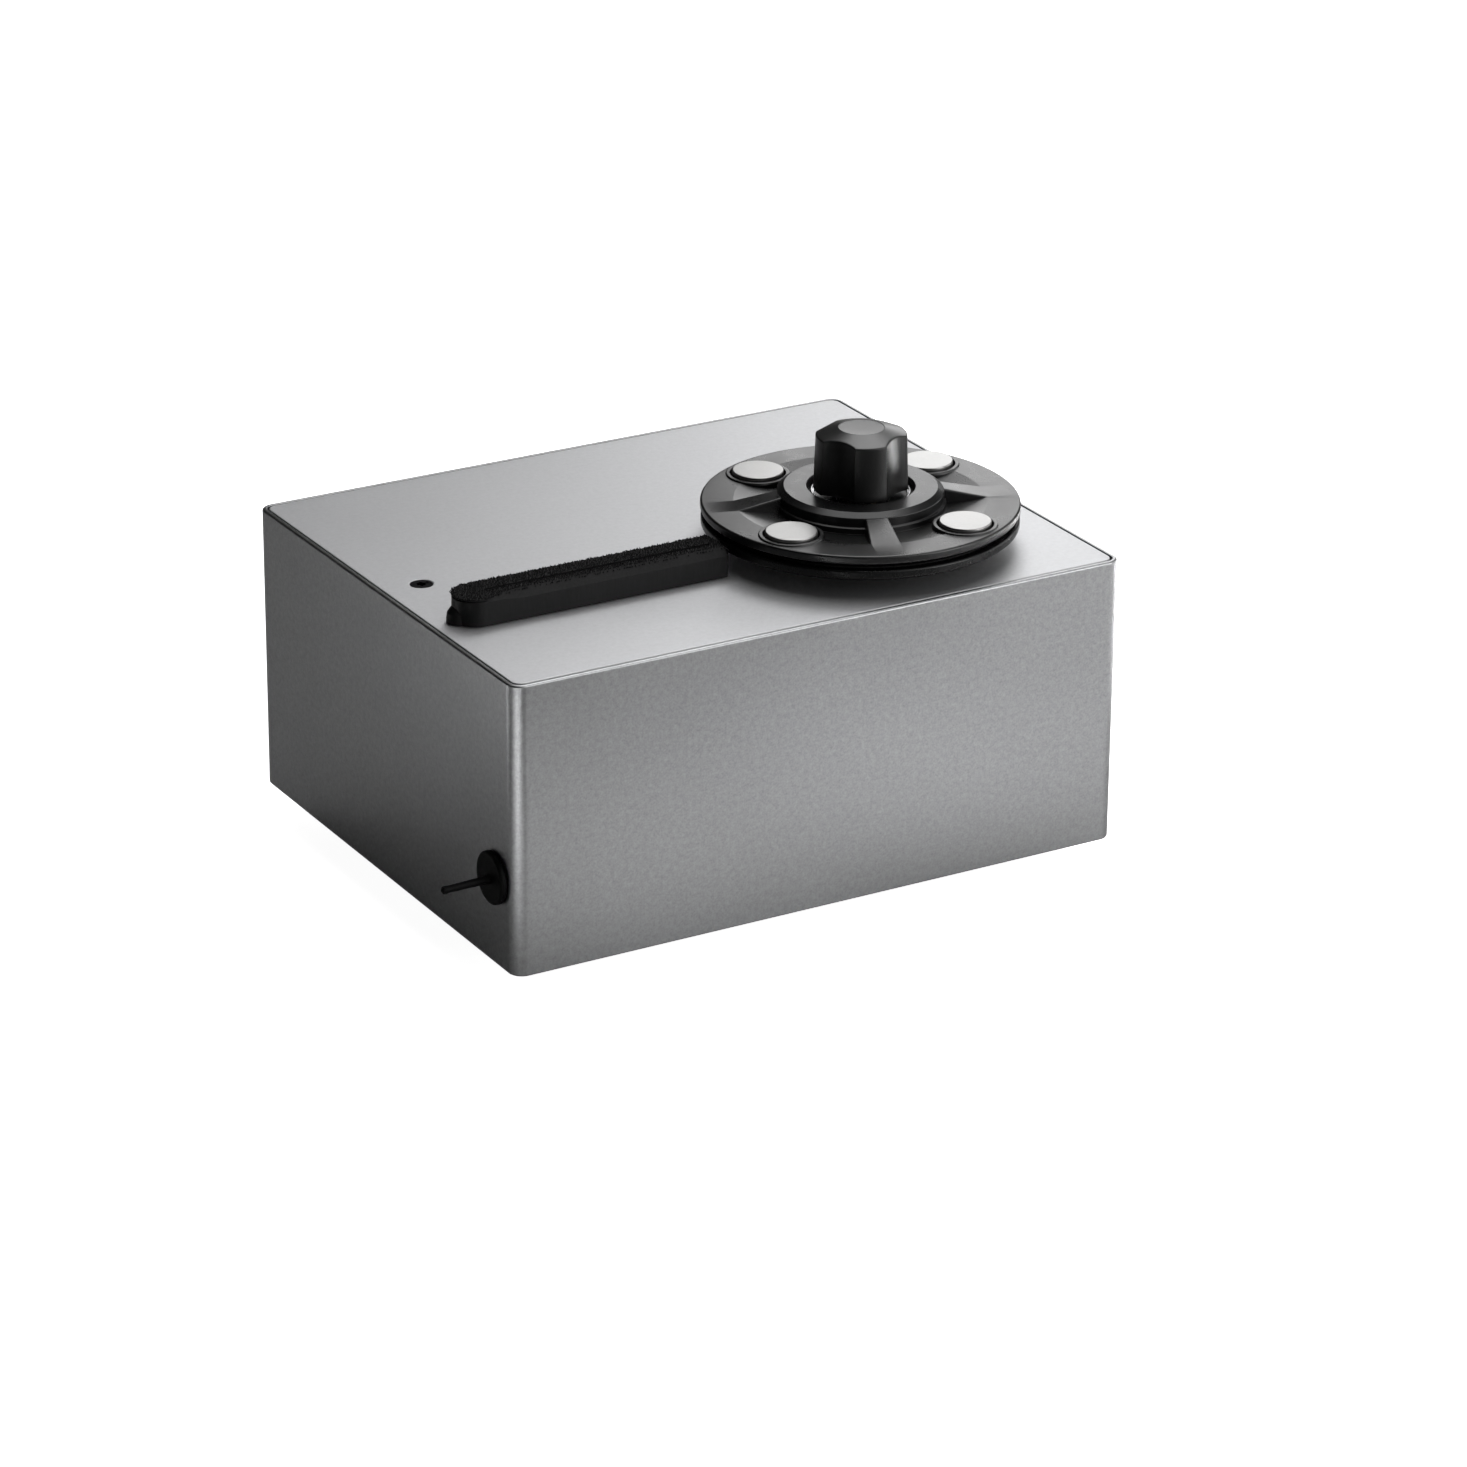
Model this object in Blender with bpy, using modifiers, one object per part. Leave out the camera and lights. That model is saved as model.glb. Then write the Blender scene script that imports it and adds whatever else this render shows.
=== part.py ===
"""Record cleaning machine: a box-shaped housing with a label-sized platter and
clamp on top, a suction arm under the record, and the vacuum, drain and drive
inside.

Sizes below are in millimetres in the housing's own frame: x to the right from
the left wall, y to the back from the front wall, z up from the housing's lower
edge.  P() turns them into metres in the model's frame, whose origin is the
centre of the footprint at the level of the feet's soles.
"""
import bpy
import bmesh
import math
from mathutils import Vector, Matrix

# ------------------------------------------------------------------ dimensions
MM = 0.001
W, D, H = 230.0, 185.0, 101.3          # housing width, depth, height
WALL = 1.5                             # sheet of the wrap-around band
R_CORNER = 5.0                         # outer radius of its vertical corners
FOOT_H = 13.0                          # feet below the housing's lower edge
GAP = 0.3                              # gap kept between touching pieces

PLATE_T = 3.0                          # top plate
PLATE_IN = 2.1                         # top plate's edge from the outer wall face
BASE_T = 2.0                           # base plate
BASE_Z = 0.5                           # its underside

FLANGE = 1.2                           # panel parts stand this far off a wall

SX, SY = 162.3, 57.4                   # spindle axis
R_SPIN = 3.55                          # record spindle radius
R_PLAT = 53.5                          # platter
R_CLAMP = 53.7                         # clamp disc
RIB_A = -20.0                          # plan angle of a clamp rib and knob lobe
MAG_A = 25.5                           # plan angle of a magnet
MAG_R = 41.5                           # its distance from the spindle
KNOB_R = 15.35                         # knob at its top and at its foot
KNOB_FOOT = 15.9
KNOB_A = -18.5                         # plan angle of a knob lobe
KNOB_TOP = 40.7                        # knob's centre above the top plate

ARM_Y = 57.4                           # suction arm's centreline
ARM_W = 15.3
ARM_X0, ARM_X1 = 9.0, 107.3
PORT_X = 58.0                          # suction port under the arm

DRAIN = (13.3, 31.0)                   # y, z of the drain outlet on the left wall
STOP_T = 2.2                           # stopper's flange
TAB_X = -19.6                          # end of its pull tab

MX, MY = 186.0, 120.0                  # drive motor axis
BELT_Z0, BELT_Z1 = H - 30.2, H - 25.2
SEAT_BIG, SEAT_SMALL = 28.0, 9.0       # belt seats of the two pulleys

BX, BY = 62.0, 141.0                   # blower axis

SW_Y, SW_Z = 45.0, 62.0                # centre of the switch plate, right wall
IN_X, IN_Z = 186.0, 32.0               # centre of the power inlet, rear wall
ROCK_R = 10.0                          # rocker's end radius about its pivot
ROCK_TOP = 0.8                         # rocker's ends above the pivot at mid travel
ROCK_TILT = 8.0                        # degrees each way
ROCK_W = 13.0

# overall box, which fixes the origin
_a = math.radians(ROCK_TILT)
_e = math.sqrt(ROCK_R ** 2 - ROCK_TOP ** 2)
ROCK_OUT = ROCK_TOP * math.cos(_a) + _e * math.sin(_a)
X_MAX = W + GAP + FLANGE + ROCK_OUT
Y_MAX = D + GAP + FLANGE + ROCK_OUT
XC = (X_MAX + TAB_X) / 2
YC = Y_MAX / 2


def P(x, y, z):
    return Vector(((x - XC) * MM, (y - YC) * MM, (z + FOOT_H) * MM))


# --------------------------------------------------------------- clean scene
for ob in list(bpy.data.objects):
    bpy.data.objects.remove(ob, do_unlink=True)

PARTS = bpy.data.collections.new("record_cleaning_machine")
TOOLS = bpy.data.collections.new("cutters")
bpy.context.scene.collection.children.link(PARTS)
bpy.context.scene.collection.children.link(TOOLS)


# ------------------------------------------------------------------ materials
def material(name, colour, rough, metal=0.0):
    m = bpy.data.materials.new(name)
    m.use_nodes = True
    b = m.node_tree.nodes["Principled BSDF"]
    b.inputs["Base Color"].default_value = (*colour, 1.0)
    b.inputs["Roughness"].default_value = rough
    b.inputs["Metallic"].default_value = metal
    return m


def finish(ob, colour, rough, metal=0.0):
    ob.data.materials.clear()
    ob.data.materials.append(material(ob.name + "_finish", colour, rough, metal))


ALU = ((0.62, 0.62, 0.64), 0.42, 1.0)
STEEL = ((0.55, 0.55, 0.56), 0.35, 1.0)
CHROME = ((0.88, 0.88, 0.90), 0.10, 1.0)
BRASS = ((0.78, 0.60, 0.28), 0.3, 1.0)
ZINC = ((0.45, 0.46, 0.48), 0.5, 1.0)
SATIN_BLACK = ((0.02, 0.02, 0.021), 0.38, 0.0)
MATTE_BLACK = ((0.012, 0.012, 0.012), 0.65, 0.0)
PILE = ((0.008, 0.008, 0.009), 0.95, 0.0)
RUBBER = ((0.015, 0.015, 0.015), 0.7, 0.0)
CLEAR_GREY = ((0.75, 0.77, 0.78), 0.3, 0.0)
GREEN = ((0.02, 0.16, 0.07), 0.5, 0.0)
GREY_PL = ((0.16, 0.16, 0.17), 0.5, 0.0)


# -------------------------------------------------------------------- helpers
def empty(name, loc):
    e = bpy.data.objects.new(name, None)
    e.empty_display_size = 0.01
    e.location = loc
    PARTS.objects.link(e)
    return e


def add(name, mesh, loc, look=None, parent=None):
    ob = bpy.data.objects.new(name, mesh)
    PARTS.objects.link(ob)
    if parent is not None:
        ob.parent = parent
        ob.location = loc - parent.location
    else:
        ob.location = loc
    if look:
        finish(ob, *look)
    return ob


def to_tools(ob):
    PARTS.objects.unlink(ob)
    TOOLS.objects.link(ob)
    ob.hide_render = True
    ob.display_type = "WIRE"


def smooth(ob, angle=40):
    ob.data.shade_smooth()
    ob.data.set_sharp_from_angle(angle=math.radians(angle))


def from_bm(name, bm):
    me = bpy.data.meshes.new(name)
    bm.to_mesh(me)
    bm.free()
    return me


def block_mesh(name, sx, sy, sz):
    bm = bmesh.new()
    bmesh.ops.create_cube(bm, size=1.0)
    bmesh.ops.scale(bm, vec=(sx * MM, sy * MM, sz * MM), verts=bm.verts)
    return from_bm(name, bm)


def block(name, x0, x1, y0, y1, z0, z1, look=None, parent=None, bevel=0.0, segs=1):
    ob = add(name, block_mesh(name, x1 - x0, y1 - y0, z1 - z0),
             P((x0 + x1) / 2, (y0 + y1) / 2, (z0 + z1) / 2), look, parent)
    if bevel:
        b = ob.modifiers.new("edges", "BEVEL")
        b.width = bevel * MM
        b.segments = segs
        b.limit_method = "ANGLE"
    return ob


def rod(name, r, length, centre, axis="Z", look=None, parent=None, sides=24, r2=None):
    """Cylinder or cone of radius r at its low end and r2 at its high end."""
    bm = bmesh.new()
    bmesh.ops.create_cone(bm, cap_ends=True, segments=sides, radius1=r * MM,
                          radius2=(r if r2 is None else r2) * MM, depth=length * MM)
    turn = {"Z": Matrix(), "X": Matrix.Rotation(math.pi / 2, 4, "Y"),
            "Y": Matrix.Rotation(-math.pi / 2, 4, "X")}[axis]
    bmesh.ops.transform(bm, matrix=turn, verts=bm.verts)
    ob = add(name, from_bm(name, bm), P(*centre), look, parent)
    smooth(ob)
    return ob


def turned(name, profile, origin, look=None, parent=None, steps=32, closed=True, axis="Z"):
    """Solid of revolution about the vertical axis through origin.

    profile is a list of (radius, height above origin), listed from the top
    inside edge outwards and down.  An open profile starts and ends on the axis.
    """
    bm = bmesh.new()
    vs = [bm.verts.new((r * MM, 0.0, z * MM)) for r, z in profile]
    for a, b in zip(vs, vs[1:]):
        bm.edges.new((a, b))
    if closed:
        bm.edges.new((vs[-1], vs[0]))
    ob = add(name, from_bm(name, bm), P(*origin), look, parent)
    s = ob.modifiers.new("turn", "SCREW")
    s.angle = math.tau
    s.steps = steps
    s.render_steps = steps
    s.axis = "Z"
    s.use_merge_vertices = True
    s.merge_threshold = 0.00001
    s.use_smooth_shade = True
    if axis == "X":                    # turned piece whose top faces -X
        ob.rotation_euler = (0.0, -math.pi / 2, 0.0)
    return ob


def outline(name, loops, z0, z1, look=None, parent=None, at=(0.0, 0.0)):
    """Flat outline with holes, extruded from z0 to z1.  loops are lists of
    (x, y) in the housing frame; the object's origin is at (at, mid height)."""
    cu = bpy.data.curves.new(name + "_outline", "CURVE")
    cu.dimensions = "2D"
    cu.fill_mode = "BOTH"
    cu.extrude = (z1 - z0) / 2 * MM
    for pts in loops:
        sp = cu.splines.new("POLY")
        sp.points.add(len(pts) - 1)
        for p, (x, y) in zip(sp.points, pts):
            p.co = ((x - at[0]) * MM, (y - at[1]) * MM, 0.0, 1.0)
        sp.use_cyclic_u = True
    tmp = bpy.data.objects.new(name + "_curve", cu)
    TOOLS.objects.link(tmp)
    bpy.context.view_layer.update()
    dg = bpy.context.evaluated_depsgraph_get()
    me = bpy.data.meshes.new_from_object(tmp.evaluated_get(dg))
    me.name = name
    bm = bmesh.new()
    bm.from_mesh(me)
    bmesh.ops.remove_doubles(bm, verts=bm.verts, dist=1e-6)
    bm.to_mesh(me)
    bm.free()
    bpy.data.objects.remove(tmp, do_unlink=True)
    return add(name, me, P(at[0], at[1], (z0 + z1) / 2), look, parent)


def boolean(ob, other, op):
    m = ob.modifiers.new(op.lower(), "BOOLEAN")
    m.operation = op
    m.solver = "EXACT"
    m.object = other
    if other.name in PARTS.objects:
        to_tools(other)


def cut(ob, *others):
    for o in others:
        boolean(ob, o, "DIFFERENCE")


def join(ob, *others):
    for o in others:
        boolean(ob, o, "UNION")


def rounded(x0, x1, y0, y1, r, n=5):
    pts = []
    for cx, cy, a0 in ((x1 - r, y1 - r, 0), (x0 + r, y1 - r, 90),
                       (x0 + r, y0 + r, 180), (x1 - r, y0 + r, 270)):
        for i in range(n + 1):
            a = math.radians(a0 + 90 * i / n)
            pts.append((cx + r * math.cos(a), cy + r * math.sin(a)))
    return pts


def ring_pts(x, y, r, n=24, a0=0.0):
    return [(x + r * math.cos(a0 + math.tau * i / n),
             y + r * math.sin(a0 + math.tau * i / n)) for i in range(n)]


# ==================================================================== housing
# Wrap-around band: one sheet bent at four rounded corners.
bm = bmesh.new()
low = [bm.verts.new(((x - W / 2) * MM, (y - D / 2) * MM, 0.0))
       for x, y in rounded(0, W, 0, D, R_CORNER, 6)]
high = [bm.verts.new((v.co.x, v.co.y, H * MM)) for v in low]
for i in range(len(low)):
    j = (i + 1) % len(low)
    bm.faces.new((low[i], low[j], high[j], high[i]))
wrap = add("housing_wrap", from_bm("housing_wrap", bm), P(W / 2, D / 2, 0), ALU)
sol = wrap.modifiers.new("sheet", "SOLIDIFY")
sol.thickness = WALL * MM
sol.offset = -1.0
smooth(wrap, 30)
cut(wrap,
    rod("cut_drain", 7.0, 6.0, (0, DRAIN[0], DRAIN[1]), "X", sides=24),
    block("cut_switch", W - 6, W + 6, SW_Y - 17.3, SW_Y + 17.3, SW_Z - 12.3, SW_Z + 12.3),
    block("cut_inlet", IN_X - 23.3, IN_X + 23.3, D - 6, D + 6, IN_Z - 12.3, IN_Z + 12.3),
    block("cut_exhaust", BX + 7, BX + 35, D - 6, D + 6, 43, 67))

# Top plate, flush inside the band.
HOLE_SP, HOLE_PORT = 9.4, 7.0
SCREWS = ((15.9, 94.0), (W - 15.9, 94.0))
top = outline("top_plate",
              [rounded(PLATE_IN, W - PLATE_IN, PLATE_IN, D - PLATE_IN, 3.6, 4),
               ring_pts(SX, SY, HOLE_SP, 24), ring_pts(PORT_X, ARM_Y, HOLE_PORT, 24)],
              H - PLATE_T, H, ALU, at=(W / 2, D / 2))
for k, (x, y) in enumerate(SCREWS):
    sink = turned("cut_sink_%d" % k,
                  [(0, 0.5), (4.65, 0.5), (2.3, -1.85), (2.3, -4.0), (0, -4.0)],
                  (x, y, H), steps=20, closed=False)
    cut(top, sink)

# Base plate with cooling slots and holes for feet and screws.
FEET = {"front_left": (33, 40), "front_right": (W - 33, 40),
        "rear_left": (33, D - 33), "rear_right": (W - 33, D - 33)}
POSTS = {"front_left": (0, 0), "front_right": (1, 0), "rear_left": (0, 1), "rear_right": (1, 1)}
POST_IN, POST_W = 1.8, 10.0


def post_centre(c):
    i, j = POSTS[c]
    o = POST_IN + POST_W / 2
    return (o if i == 0 else W - o, o if j == 0 else D - o)


loops = [rounded(PLATE_IN, W - PLATE_IN, PLATE_IN, D - PLATE_IN, 3.6, 3)]
for c in FEET:
    loops.append(ring_pts(*FEET[c], 3.3, 14))
    loops.append(ring_pts(*post_centre(c), 2.0, 10))
for i in range(6):
    y = 112 + i * 8
    loops.append([(108, y), (148, y), (148, y + 3), (108, y + 3)])
base = outline("base_plate", loops, BASE_Z, BASE_Z + BASE_T, ZINC, at=(W / 2, D / 2))

# Corner posts carry the top plate and take the base screws.
for c in POSTS:
    x, y = post_centre(c)
    h = POST_W / 2
    post = block("corner_post_" + c, x - h, x + h, y - h, y + h,
                 BASE_Z + BASE_T + GAP, H - PLATE_T - GAP, ALU)
    # the outer vertical edge follows the band's bent corner
    sx = -1 if POSTS[c][0] == 0 else 1
    sy = -1 if POSTS[c][1] == 0 else 1
    k = 2.2
    me = post.data
    for v in me.vertices:
        if v.co.x * sx > 0 and v.co.y * sy > 0:
            v.co.x -= sx * k * MM * 0.8
            v.co.y -= sy * k * MM * 0.8
    cut(post, rod("cut_post_" + c, 1.75, 14.0, (x, y, BASE_Z + BASE_T + 6.5), sides=12))
    if c == "front_left":
        cut(post, rod("cut_post_spout", 8.9, 20, (8, DRAIN[0], DRAIN[1]), "X", sides=24))
    # pan-head screw from below
    turned("base_screw_" + c,
           [(0, 10.0), (1.45, 10.0), (1.45, -GAP), (3.3, -GAP), (3.0, -1.9), (1.2, -2.2),
            (0.9, -1.2), (0, -1.2)],
           (x, y, BASE_Z), STEEL, steps=10, closed=False)

# Rubber feet, pulled through the base plate by their stems.
for c, (x, y) in FEET.items():
    turned("foot_" + c,
           [(0, 6.5), (2.6, 6.5), (4.0, 4.2), (3.9, BASE_T + 0.3), (2.9, BASE_T + 0.2),
            (2.9, -GAP), (10.8, -GAP), (9.4, -(FOOT_H + BASE_Z) + 0.8),
            (8.8, -(FOOT_H + BASE_Z)), (5.0, -(FOOT_H + BASE_Z)), (4.4, -(FOOT_H + BASE_Z) + 1.6),
            (0, -(FOOT_H + BASE_Z) + 1.6)],
           (x, y, BASE_Z), RUBBER, steps=14, closed=False)

# Angle brackets on the side walls, tapped for the top plate's screws.
for side, (x, y) in zip(("left", "right"), SCREWS):
    s = 1 if side == "left" else -1
    wx = POST_IN if side == "left" else W - POST_IN
    br = block("plate_bracket_" + side, min(wx, wx + s * 20), max(wx, wx + s * 20), y - 10, y + 10,
               H - PLATE_T - GAP - 22, H - PLATE_T - GAP, STEEL)
    cut(br, block("cut_angle_" + side, min(wx + s * 2.5, wx + s * 25), max(wx + s * 2.5, wx + s * 25),
                  y - 15, y + 15, H - PLATE_T - GAP - 30, H - PLATE_T - GAP - 2.5),
        rod("cut_tap_" + side, 2.15, 20, (x, y, H - 8), sides=12))
    scr = turned("top_screw_" + side,
                 [(0, -0.2), (3.65, -0.2), (3.7, -0.3), (1.85, -2.15), (1.85, -9.5), (1.2, -10.3),
                  (0, -10.3)],
                 (x, y, H), MATTE_BLACK, steps=20, closed=False)
    star = [(x + (1.75 if i % 2 == 0 else 1.25) * math.cos(math.radians(30 * i)),
             y + (1.75 if i % 2 == 0 else 1.25) * math.sin(math.radians(30 * i))) for i in range(12)]
    cut(scr, outline("cut_star_" + side, [star], H - 1.9, H + 1, at=(x, y)))

# ==================================================================== platter
platter_axis = empty("platter_axis", P(SX, SY, H))

turned("spindle",
       [(0, 33.0), (2.7, 33.0), (R_SPIN, 31.6), (R_SPIN, -38.6), (2.9, -39.4), (0, -39.4)],
       (SX, SY, H), STEEL, platter_axis, steps=24, closed=False)

turned("spindle_bearing",
       [(3.9, -0.6), (9.0, -0.6), (9.0, -PLATE_T - GAP), (19.0, -PLATE_T - GAP), (19.0, -6.6),
        (8.5, -6.6), (8.5, -21.5), (3.9, -21.5)],
       (SX, SY, H), BRASS, steps=18)

turned("platter",
       [(3.9, 9.0), (50.7, 9.0), (50.7, 10.0), (53.0, 10.0), (R_PLAT, 9.5), (R_PLAT, 7.4),
        (52.7, 6.6), (14.5, 6.2), (14.5, 1.4), (3.9, 1.4)],
       (SX, SY, H), SATIN_BLACK, platter_axis, steps=44)

turned("platter_mat",
       [(5.0, 10.2), (50.1, 10.2), (50.1, 9.3), (5.0, 9.3)],
       (SX, SY, H), RUBBER, platter_axis, steps=40)

turned("platter_pulley",
       [(3.9, -22.2), (8.0, -22.2), (8.0, -23.6), (30.4, -23.6), (30.4, -24.7), (SEAT_BIG, -24.9),
        (SEAT_BIG, -30.5), (30.4, -30.7), (30.4, -31.8), (9.5, -31.8), (9.5, -36.8), (3.9, -36.8)],
       (SX, SY, H), GREY_PL, platter_axis, steps=24)

# ---- clamp: disc with hub, ribs, pockets and magnet cups
clamp_axis = empty("clamp_axis", P(SX, SY, H))
clamp = turned("clamp_disc",
               [(4.2, 17.2), (18.1, 17.2), (18.1, 20.0), (25.8, 20.0), (28.0, 18.5), (28.0, 15.5),
                (28.7, 15.1), (52.8, 15.1), (R_CLAMP, 14.4), (R_CLAMP, 12.8), (53.1, 12.1),
                (51.4, 12.1), (51.4, 12.9), (48.6, 12.9), (48.6, 12.1), (4.2, 12.1)],
               (SX, SY, H), SATIN_BLACK, clamp_axis, steps=44)
cut(clamp, turned("cut_pockets",
                  [(28.75, 16.2), (42.9, 16.2), (42.9, 15.1), (42.3, 15.0), (29.4, 13.3), (28.75, 13.3)],
                  (SX, SY, H), steps=44))
# sloping ribs from the hub's edge down to the disc, wider outwards
for k in range(4):
    me = block_mesh("rib_%d" % k, 2.0, 2.0, 2.0)
    for v in me.vertices:
        out = v.co.x > 0
        side, up = (1 if v.co.y > 0 else -1), v.co.z > 0
        v.co = Vector((43.4 if out else 26.6, side * (5.28 if out else 3.83),
                       (14.95 if out else 18.69) if up else 13.4)) * MM
    rib = add("rib_%d" % k, me, P(SX, SY, H))
    rib.rotation_euler = (0.0, 0.0, math.radians(RIB_A + 90 * k))
    join(clamp, rib)
mags = []
for k in range(4):
    a = math.radians(MAG_A + 90 * k)
    mags.append((SX + MAG_R * math.cos(a), SY + MAG_R * math.sin(a)))
for k, (x, y) in enumerate(mags):
    join(clamp, rod("cup_%d" % k, 10.7, 2.65, (x, y, H + 14.275), sides=20))
for k, (x, y) in enumerate(mags):
    cut(clamp, rod("cut_cup_%d" % k, 9.45, 4.0, (x, y, H + 15.3), sides=20))
for k, (x, y) in enumerate(mags):
    turned("magnet_%d" % (k + 1),
           [(0, 16.7), (8.4, 16.7), (8.75, 16.3), (8.75, 13.6), (0, 13.6)],
           (x, y, H), CHROME, clamp_axis, steps=20, closed=False)

turned("label_seal",
       [(49.0, 12.6), (51.0, 12.6), (50.6, 11.5), (49.4, 11.5)],
       (SX, SY, H), RUBBER, clamp_axis, steps=36)
turned("hub_ring",
       [(15.3, 18.3), (16.1, 18.3), (16.3, 18.8), (16.9, 18.8), (17.1, 18.5), (17.1, 17.5), (15.3, 17.5)],
       (SX, SY, H), CHROME, clamp_axis, steps=28)

# ---- knob: four lobes and four finger flutes, shallow cone on top
knob_axis = empty("knob_axis", P(SX, SY, H))


def knob_r(deg, r=KNOB_R):
    """Radius of the knob's outline at a plan angle."""
    d = (deg - KNOB_A + 45.0) % 90.0 - 45.0         # angle from the nearest lobe's middle
    if abs(d) <= 20.5:
        return r
    t = (abs(d) - 20.5) / 24.5                      # 0 at the flute's edge, 1 at its middle
    return r - 2.55 * math.sin(t * math.pi / 2) ** 1.2


N_KN = 40
bm = bmesh.new()


def knob_ring(z, fac, lobe=KNOB_R, blend=0.0, flat=0.0):
    vs = []
    for i in range(N_KN):
        deg = 360.0 * i / N_KN + KNOB_A
        r = knob_r(deg, lobe) * fac
        r = r * (1 - blend) + flat * blend
        a = math.radians(deg)
        vs.append(bm.verts.new((r * math.cos(a) * MM, r * math.sin(a) * MM, z * MM)))
    return vs


rings = [knob_ring(19.3, 0.985, KNOB_FOOT), knob_ring(19.6, 1.0, KNOB_FOOT), knob_ring(37.75, 1.0),
         knob_ring(38.2, 0.975), knob_ring(KNOB_TOP, 1.0, KNOB_R, 1.0, 7.75)]
for a, b in zip(rings, rings[1:]):
    for i in range(N_KN):
        j = (i + 1) % N_KN
        bm.faces.new((a[i], a[j], b[j], b[i]))
bm.faces.new(list(reversed(rings[0])))
bm.faces.new(rings[-1])
knob = add("knob", from_bm("knob", bm), P(SX, SY, H), SATIN_BLACK, knob_axis)
smooth(knob, 25)
cut(knob, rod("cut_insert", 6.3, 12.0, (SX, SY, H + 23.9), sides=24),
    rod("cut_tip", 4.2, 16.0, (SX, SY, H + 28.0), sides=20))
turned("knob_insert",
       [(3.9, 29.5), (5.9, 29.5), (5.9, 19.5), (3.9, 19.5)],
       (SX, SY, H), BRASS, knob_axis, steps=20)

# ============================================================== suction arm
arm_axis = empty("arm_axis", P(PORT_X, ARM_Y, H))


def arm_outline(grow=0.0, n=10):
    r = ARM_W / 2 + grow
    cx = ARM_X0 + ARM_W / 2
    pts = [(cx + r * math.cos(math.radians(90 + 180 * i / n)),
            ARM_Y + r * math.sin(math.radians(90 + 180 * i / n))) for i in range(n + 1)]
    x1 = ARM_X1 + grow
    return pts + [(x1 - 0.8, ARM_Y - r), (x1, ARM_Y - r + 0.8), (x1, ARM_Y + r - 0.8), (x1 - 0.8, ARM_Y + r)]


arm = outline("suction_arm", [arm_outline()], H + GAP, H + 8.8, SATIN_BLACK, arm_axis,
              at=(PORT_X, ARM_Y))
join(arm, rod("arm_spigot", 5.7, 14.0, (PORT_X, ARM_Y, H - 5.0), sides=24),
     turned("arm_lug", [(0, 5.6), (2.4, 5.2), (3.7, 3.6), (4.1, 1.5), (4.1, GAP), (0, GAP)],
            (ARM_X0 + 2.0, ARM_Y + 0.4, H), steps=16, closed=False))
cut(arm, block("cut_duct", 17.5, ARM_X1 - 2.2, ARM_Y - 5.4, ARM_Y + 5.4, H + 1.8, H + 7.2),
    block("cut_slot", 20.0, 104.0, ARM_Y - 1.3, ARM_Y + 1.3, H + 4.0, H + 12.0),
    rod("cut_bore", 4.3, 20.0, (PORT_X, ARM_Y, H - 5.5), sides=20))
velvet = outline("velvet_pad",
                 [arm_outline(0.15),
                  [(20, ARM_Y - 1.0), (104, ARM_Y - 1.0), (104, ARM_Y + 1.0), (20, ARM_Y + 1.0)]],
                 H + 9.1, H + 10.2, PILE, arm_axis, at=(PORT_X, ARM_Y))
turned("arm_seal",
       [(6.0, -6.4), (6.6, -6.7), (6.6, -7.7), (6.0, -8.0)],
       (PORT_X, ARM_Y, H), RUBBER, arm_axis, steps=16)

# Port under the top plate that takes the arm's spigot.
turned("suction_port",
       [(7.0, -PLATE_T - GAP), (16.0, -PLATE_T - GAP), (16.0, -6.2), (9.3, -6.2), (9.3, -15.8),
        (7.5, -16.0), (7.5, -23.6), (5.9, -23.6), (5.9, -13.5), (7.0, -13.5)],
       (PORT_X, ARM_Y, H), GREY_PL, steps=16)

# ====================================================== waste tank and drain
TX0, TX1, TY0, TY1 = 18.0, 92.0, 4.0, 100.0
T_FLOOR, T_TOP = 20.0, 66.0
tank = block("waste_tank", TX0, TX1, TY0, TY1, BASE_Z + BASE_T + GAP, T_TOP, CLEAR_GREY)
join(tank, rod("drain_spout", 8.6, TX0 + 2 - 2.0, ((TX0 + 2 + 2.0) / 2, DRAIN[0], DRAIN[1]), "X", sides=24))
cut(tank, block("cut_tank", TX0 + 2, TX1 - 2, TY0 + 2, TY1 - 2, T_FLOOR + 2, T_TOP + 10),
    block("cut_skirt", TX0 + 2, TX1 - 2, TY0 + 2, TY1 - 2, -5, T_FLOOR),
    rod("cut_spout", 6.5, 40, (10.0, DRAIN[0], DRAIN[1]), "X", sides=24))

LID_Z0, LID_Z1 = T_TOP + GAP, T_TOP + GAP + 3.0
OUT_X, OUT_Y = 50.0, 86.0
lid = block("tank_lid", TX0 - 1, TX1 + 1, TY0 - 1, TY1 + 1, LID_Z0, LID_Z1, GREY_PL)
join(lid, rod("lid_inlet", 7.5, 8.0, (PORT_X, ARM_Y, LID_Z1 + 2.0), sides=24),
     rod("lid_outlet", 7.5, 5.0, (OUT_X, OUT_Y, LID_Z1 + 0.9), sides=24))
cut(lid, rod("cut_lid_in", 5.9, 30.0, (PORT_X, ARM_Y, LID_Z1), sides=24),
    rod("cut_lid_out", 5.9, 30.0, (OUT_X, OUT_Y, LID_Z1), sides=24))

# Ribbed sleeve between the port and the lid's inlet.
z0, z1 = LID_Z1 + GAP, H - 16.4
prof = [(7.8, z1), (9.2, z1)]
nrib = 3
for i in range(nrib):
    zt = z1 - 1.6 - i * (z1 - z0 - 3.2) / nrib
    zb = zt - (z1 - z0 - 3.2) / nrib
    prof += [(9.2, zt), (10.6, zt - 0.8), (10.6, zb + 0.9), (9.2, zb + 0.1)]
prof += [(9.2, z0), (7.8, z0)]
turned("suction_hose", prof, (PORT_X, ARM_Y, 0), RUBBER, steps=14)

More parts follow.
